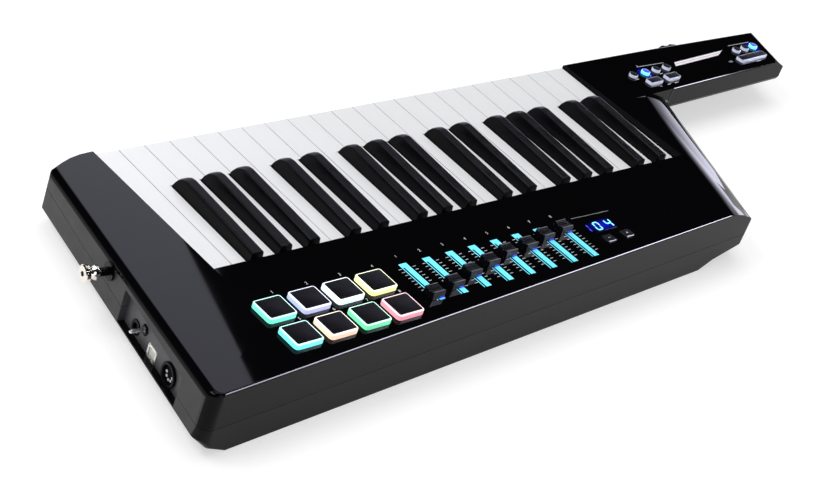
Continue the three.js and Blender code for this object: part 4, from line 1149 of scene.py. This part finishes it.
@dataclass
class Sockets:
    """The niche's sockets and switch, each placed by its distance and its drop on the plate."""

    usb: tuple = (40.6, 23.6)
    usb_size: tuple = (12.2, 11.0)
    usb_wall: float = 1.9
    usb_depth: float = 2.4
    din: tuple = (66.2, 20.2)
    din_radius: float = 9.2
    pin_circle: float = 4.1
    pins: int = 5
    jack: tuple = (14.5, 21.8)
    jack_radius: float = 5.8
    toggle: tuple = (25.7, 15.1)

    def build(self, maker: Maker) -> None:
        """Make the sockets' metal and pins, and dress the switch."""
        self.square(maker)
        self.round(maker)
        self.power(maker)
        foot = (3.2, -0.2)
        side = [foot, (4.2, -0.2), (4.2, 1.0), (3.8, 1.4), (2.2, 1.4), (2.2, -0.2), foot]
        place = maker.places.on_wall(*self.toggle)
        maker.piece("switch_nut", turned(side, 6), place, [BLACK_STEEL], smooth=20)
        lever = "power_toggle"
        maker.refined("switch_lever", lever, [SATIN_CHROME], lever, smooth=45)

    def square(self, maker: Maker) -> None:
        """Make the square data socket: a stamped can round a white tongue."""
        place = maker.places.on_wall(*self.usb)
        can = tablet(*self.usb_size, -6.5, 0.6, 0.5, 0)
        hole = [f for f in can.faces if f.normal.z > 0.99]
        for step in ({"thickness": self.usb_wall}, {"thickness": 0.01, "depth": -self.usb_depth}):
            bmesh.ops.inset_region(can, faces=hole, use_even_offset=True, **step)
        for face in hole:
            face.material_index = 1
        finishes = [TINNED_STEEL, PLATE_GREY]
        maker.piece("data_socket_can", can, place, finishes, smooth=30)
        tongue = tablet(6.6, 5.4, -3.0, 0.3, 0.4, 0.3)
        maker.piece("data_socket_tongue", tongue, place, [NYLON_WHITE])

    def round(self, maker: Maker) -> None:
        """Make the round socket: a black ring, its insert and the five holes' sleeves."""
        place = maker.places.on_wall(*self.din)
        r = self.din_radius
        top = [(r, 1.8), (r - 0.4, 2.2), (r - 1.8, 2.2), (r - 2.2, 1.8)]
        rim = turned([(r - 2.2, -4.0), (r, -4.0), *top, (r - 2.2, -4.0)], 40)
        maker.piece("round_socket_ring", rim, place, [CAP_BLACK])
        disc = turned([(0, -4.2), (r - 2.5, -4.2), (r - 2.5, -0.2), (0, -0.2)])
        maker.piece("round_socket_insert", disc, place, [PAD_BLACK])
        sleeves = []
        for step in range(self.pins):
            angle = math.pi * (1 + step / (self.pins - 1))
            x, y = self.pin_circle * math.cos(angle), self.pin_circle * math.sin(angle)
            sleeves.append(moved(ring(0.45, 1.05, -0.6, 0.3, 12), x, y))
        maker.piece("round_socket_sleeves", merged(sleeves), place, [TINNED_STEEL])

    def power(self, maker: Maker) -> None:
        """Make the round power socket: its collar and its centre pin."""
        place = maker.places.on_wall(*self.jack)
        r = self.jack_radius
        foot = (r - 2.4, -3.0)
        collar = turned([foot, (r, -3.0), (r, 0.5), (r - 0.3, 0.8), (r - 2.4, 0.8), foot])
        maker.piece("power_socket_collar", collar, place, [CAP_BLACK])
        # The pin is drawn black as painted shade: the dark inside the socket's hole.
        pin = turned([(0, -8.5), (0.9, -8.5), (0.9, -0.8), (0.5, -0.4), (0, -0.4)], 16)
        maker.piece("power_socket_pin", pin, place, [BLACK_STEEL])


@dataclass
class StrapPeg:
    """The turned strap peg and the screw in its head."""

    y: float = 25.5
    drop: float = 4.5
    reach: float = 21.0
    shank: float = 8.9

    def build(self, maker: Maker) -> None:
        """Dress the peg and add its screw."""

        def zone(face: Face) -> int:
            """Number the washer's and the shank's faces 1 and those of the ring and the head 0."""
            return int(-maker.places.depth(face) < self.shank)

        metals = [WARM_NICKEL, BLACK_STEEL]
        maker.refined("strap_peg_turning", "strap_peg", metals, smooth=32, paint=zone)
        place = maker.places.on_wall(-self.y, self.drop, -self.reach)
        screw = turned([(0, -0.1), (1.9, -0.1), (1.9, 0.15), (1.6, 0.3), (0, 0.42)], 24)
        maker.piece("strap_peg_screw", screw, place, [BLACK_STEEL])
        # The cross is two dark bars on the head: painted shade of the recess.
        maker.piece("strap_peg_cross", cross(3.2, 0.6, 0.14, 0.36), place, [CAP_BLACK])


def toward(azimuth: float, elevation: float) -> Vector:
    """A unit direction from degrees from +X towards +Y and degrees above the floor."""
    a, e = math.radians(azimuth), math.radians(elevation)
    return Vector((math.cos(a) * math.cos(e), math.sin(a) * math.cos(e), math.sin(e)))


@dataclass(frozen=True)
class Window:
    """A softbox that shows in reflections alone.

    Its azimuth and elevation are in degrees, its half sizes and its soft edge are sines of
    angles, and its strength is its brightness.
    """

    azimuth: float
    elevation: float
    half_width: float
    half_height: float
    soft: float
    strength: float

    def seen(self, tree: Nodes, way: Output) -> Output:
        """Add the nodes that tell how bright it is along a direction.

        Args:
            tree: the world's node tree.
            way: the direction.

        Returns:
            The brightness.
        """
        centre = toward(self.azimuth, self.elevation)
        across = UP.cross(centre).normalized()
        up = centre.cross(across)
        ahead = add(tree, "VectorMath", {0: way, 1: centre}, operation="DOT_PRODUCT")
        front = {0: ahead.outputs["Value"], 1: 0.0}
        share = add(tree, "Math", front, operation="GREATER_THAN").outputs[0]
        for axis, half in ((across, self.half_width), (up, self.half_height)):
            off = add(tree, "VectorMath", {0: way, 1: axis}, operation="DOT_PRODUCT")
            far = add(tree, "Math", {0: off.outputs["Value"]}, operation="ABSOLUTE").outputs[0]
            reach = {"From Min": half, "From Max": half + self.soft, "To Min": 1.0, "To Max": 0.0}
            inside = add(
                tree, "MapRange", {"Value": far, **reach}, interpolation_type="SMOOTHSTEP"
            ).outputs["Result"]
            share = add(tree, "Math", {0: share, 1: inside}, operation="MULTIPLY").outputs[0]
        return add(tree, "Math", {0: share, 1: self.strength}, operation="MULTIPLY").outputs[0]


@dataclass
class Studio:
    """The pale floor, the lamps, the surroundings and the camera.

    Each softbox has its name, its azimuth and elevation in degrees, its distance and its sizes
    in metres, and its power in watts. Mirrors see a patch instead of them: a plane cuts it off
    sharply, and it fades away from there and towards the ceiling.
    """

    camera_at: tuple = (-1.197195, -0.816846, 0.850897)
    azimuth: float = -52.491
    elevation: float = 32.281
    roll: float = 20.571
    lens: float = 88.29
    floor_radius: float = 14.0
    floor_drop: float = 0.3
    room_glow: float = 0.42
    horizon_heights: tuple = (0.05, 0.3)
    horizon_glow: float = 0.3
    ceiling_glow: float = 0.004
    patch_edge: tuple = ((44.7, 33.5), (42.8, 35.3))
    patch_inside: tuple = (50, 31)
    patch_blur: float = 0.0008
    patch_fade: tuple = (0.12, 0.36)
    patch_top: tuple = (0.62, 0.72)
    patch_glow: float = 3.1
    cool_cast: tuple = (0.93, 0.93, 1.12, 1)
    softboxes: tuple = (
        ("key_softbox", (158, 48), 2.6, (1.5, 0.8), 25),
        ("top_softbox", (60, 76), 2.4, (1.8, 1.2), 21),
    )
    windows: tuple = (
        Window(-43, 30, 0.11, 0.2, 0.03, 45.0),
        Window(-26, 31, 0.09, 0.22, 0.03, 110.0),
        Window(27, 1, 0.2, 0.01, 0.26, 4.5),
    )

    def camera(self) -> None:
        """Stand the camera where the photograph was taken from."""
        az, el, roll = map(math.radians, (self.azimuth, self.elevation, self.roll))
        back = Vector((math.sin(az) * math.cos(el), -math.cos(az) * math.cos(el), math.sin(el)))
        right = UP.cross(back).normalized()
        up = back.cross(right)
        across = right * math.cos(roll) + up * math.sin(roll)
        upward = up * math.cos(roll) - right * math.sin(roll)
        data = bpy.data.cameras.new("photo_view")
        data.lens, data.sensor_width, data.sensor_fit = self.lens, 36.0, "HORIZONTAL"
        data.clip_start, data.clip_end = 0.05, 60.0
        made = linked("photo_view", data)
        turn = Matrix((across, upward, back)).transposed().to_4x4()
        made.matrix_world = Matrix.Translation(self.camera_at) @ turn
        bpy.context.scene.camera = made

    def lamps(self) -> None:
        """Hang the softboxes, aimed at the object."""
        for name, way, away, size, power in self.softboxes:
            outward = toward(*way)
            data = bpy.data.lights.new(name, "AREA")
            data.shape = "RECTANGLE"
            data.size, data.size_y = size
            data.energy = power
            made = linked(name, data)
            made.location = outward * away
            made.rotation_mode = "QUATERNION"
            made.rotation_quaternion = outward.to_track_quat("Z", "Y")

    def floor(self) -> None:
        """Lay the floor a little below the belly, so that the two faces never coincide."""
        bm = bmesh.new()
        bmesh.ops.create_circle(bm, cap_ends=True, segments=96, radius=self.floor_radius)
        bmesh.ops.translate(bm, verts=bm.verts, vec=(0, 0, -self.floor_drop * MM))
        mesh = bpy.data.meshes.new("studio_floor")
        bm.to_mesh(mesh)
        bm.free()
        linked("studio_floor", mesh)
        mesh.materials.append(FLOOR_WHITE.material())

    def mirrored(self, tree: Nodes, way: Output) -> Output:
        """Add the nodes for what reflections see: a dark room with a horizon, and its lights.

        Args:
            tree: the world's node tree.
            way: the direction.

        Returns:
            The brightness.
        """
        edge = toward(*self.patch_edge[0]).cross(toward(*self.patch_edge[1])).normalized()
        if edge.dot(toward(*self.patch_inside)) < 0:
            edge = -edge
        side = add(tree, "VectorMath", {0: way, 1: edge}, operation="DOT_PRODUCT").outputs["Value"]
        height = add(tree, "SeparateXYZ", {0: way}).outputs["Z"]
        ramps = [
            add(
                tree, "MapRange",
                {"Value": value, "From Min": low, "From Max": high, "To Min": start, "To Max": end},
                interpolation_type=blend,
            ).outputs["Result"]
            for value, (low, high), start, end, blend in (
                (height, self.horizon_heights, self.horizon_glow, self.ceiling_glow, "SMOOTHSTEP"),
                (side, (0.0, self.patch_blur), 0.0, 1.0, "LINEAR"),
                (side, self.patch_fade, 1.0, 0.0, "SMOOTHSTEP"),
                (height, self.patch_top, self.patch_glow, 0.0, "SMOOTHSTEP"),
            )
        ]
        patch = ramps[1]
        for ramp in ramps[2:]:
            patch = add(tree, "Math", {0: patch, 1: ramp}, operation="MULTIPLY").outputs[0]
        glow = add(tree, "Math", {0: ramps[0], 1: patch}, operation="MAXIMUM").outputs[0]
        for window in self.windows:
            both = {0: glow, 1: window.seen(tree, way)}
            glow = add(tree, "Math", both, operation="ADD").outputs[0]
        return glow

    def surroundings(self) -> None:
        """Light the room: white to the camera, even to matt surfaces, dark to mirrors."""
        world = bpy.data.worlds.new("studio")
        world.use_nodes = True
        tree = world.node_tree
        tree.nodes.clear()
        glow = self.mirrored(tree, add(tree, "TexCoord").outputs["Generated"])
        path = add(tree, "LightPath")
        mirror = path.outputs["Is Glossy Ray"]
        glows = {0: mirror, 2: self.room_glow, 3: glow}
        soft = add(tree, "Mix", glows, data_type="FLOAT").outputs[0]
        rays = {0: path.outputs["Is Camera Ray"], 1: path.outputs["Is Transmission Ray"]}
        clear = add(tree, "Math", rays, operation="MAXIMUM").outputs[0]
        strength = add(tree, "Mix", {0: clear, 2: soft, 3: 1.0}, data_type="FLOAT").outputs[0]
        colours = {0: mirror, 6: (1, 1, 1, 1), 7: self.cool_cast}
        cast = add(tree, "Mix", colours, data_type="RGBA").outputs[2]
        room = add(tree, "Background", {"Color": cast, "Strength": strength})
        add(tree, "OutputWorld", {"Surface": room.outputs[0]})
        bpy.context.scene.world = world

    def build(self) -> None:
        """Set the stage."""
        bpy.context.scene.view_settings.view_transform = "Standard"
        self.camera()
        self.floor()
        self.surroundings()
        self.lamps()
        log.info("the stage is set")


def main() -> None:
    """Build the whole scene."""
    logging.basicConfig(level=logging.INFO, format="%(message)s")
    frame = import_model()
    maker = Maker(Places.found(), frame)
    Studio().build()
    for kind in (Casing, Keyboard, PadBank, FaderBank, Display, NeckControls, Sockets, StrapPeg):
        kind().build(maker)
        log.info("%s is done", kind.__name__)
    log.info("%d pieces made", maker.count)


if __name__ == "__main__":
    main()
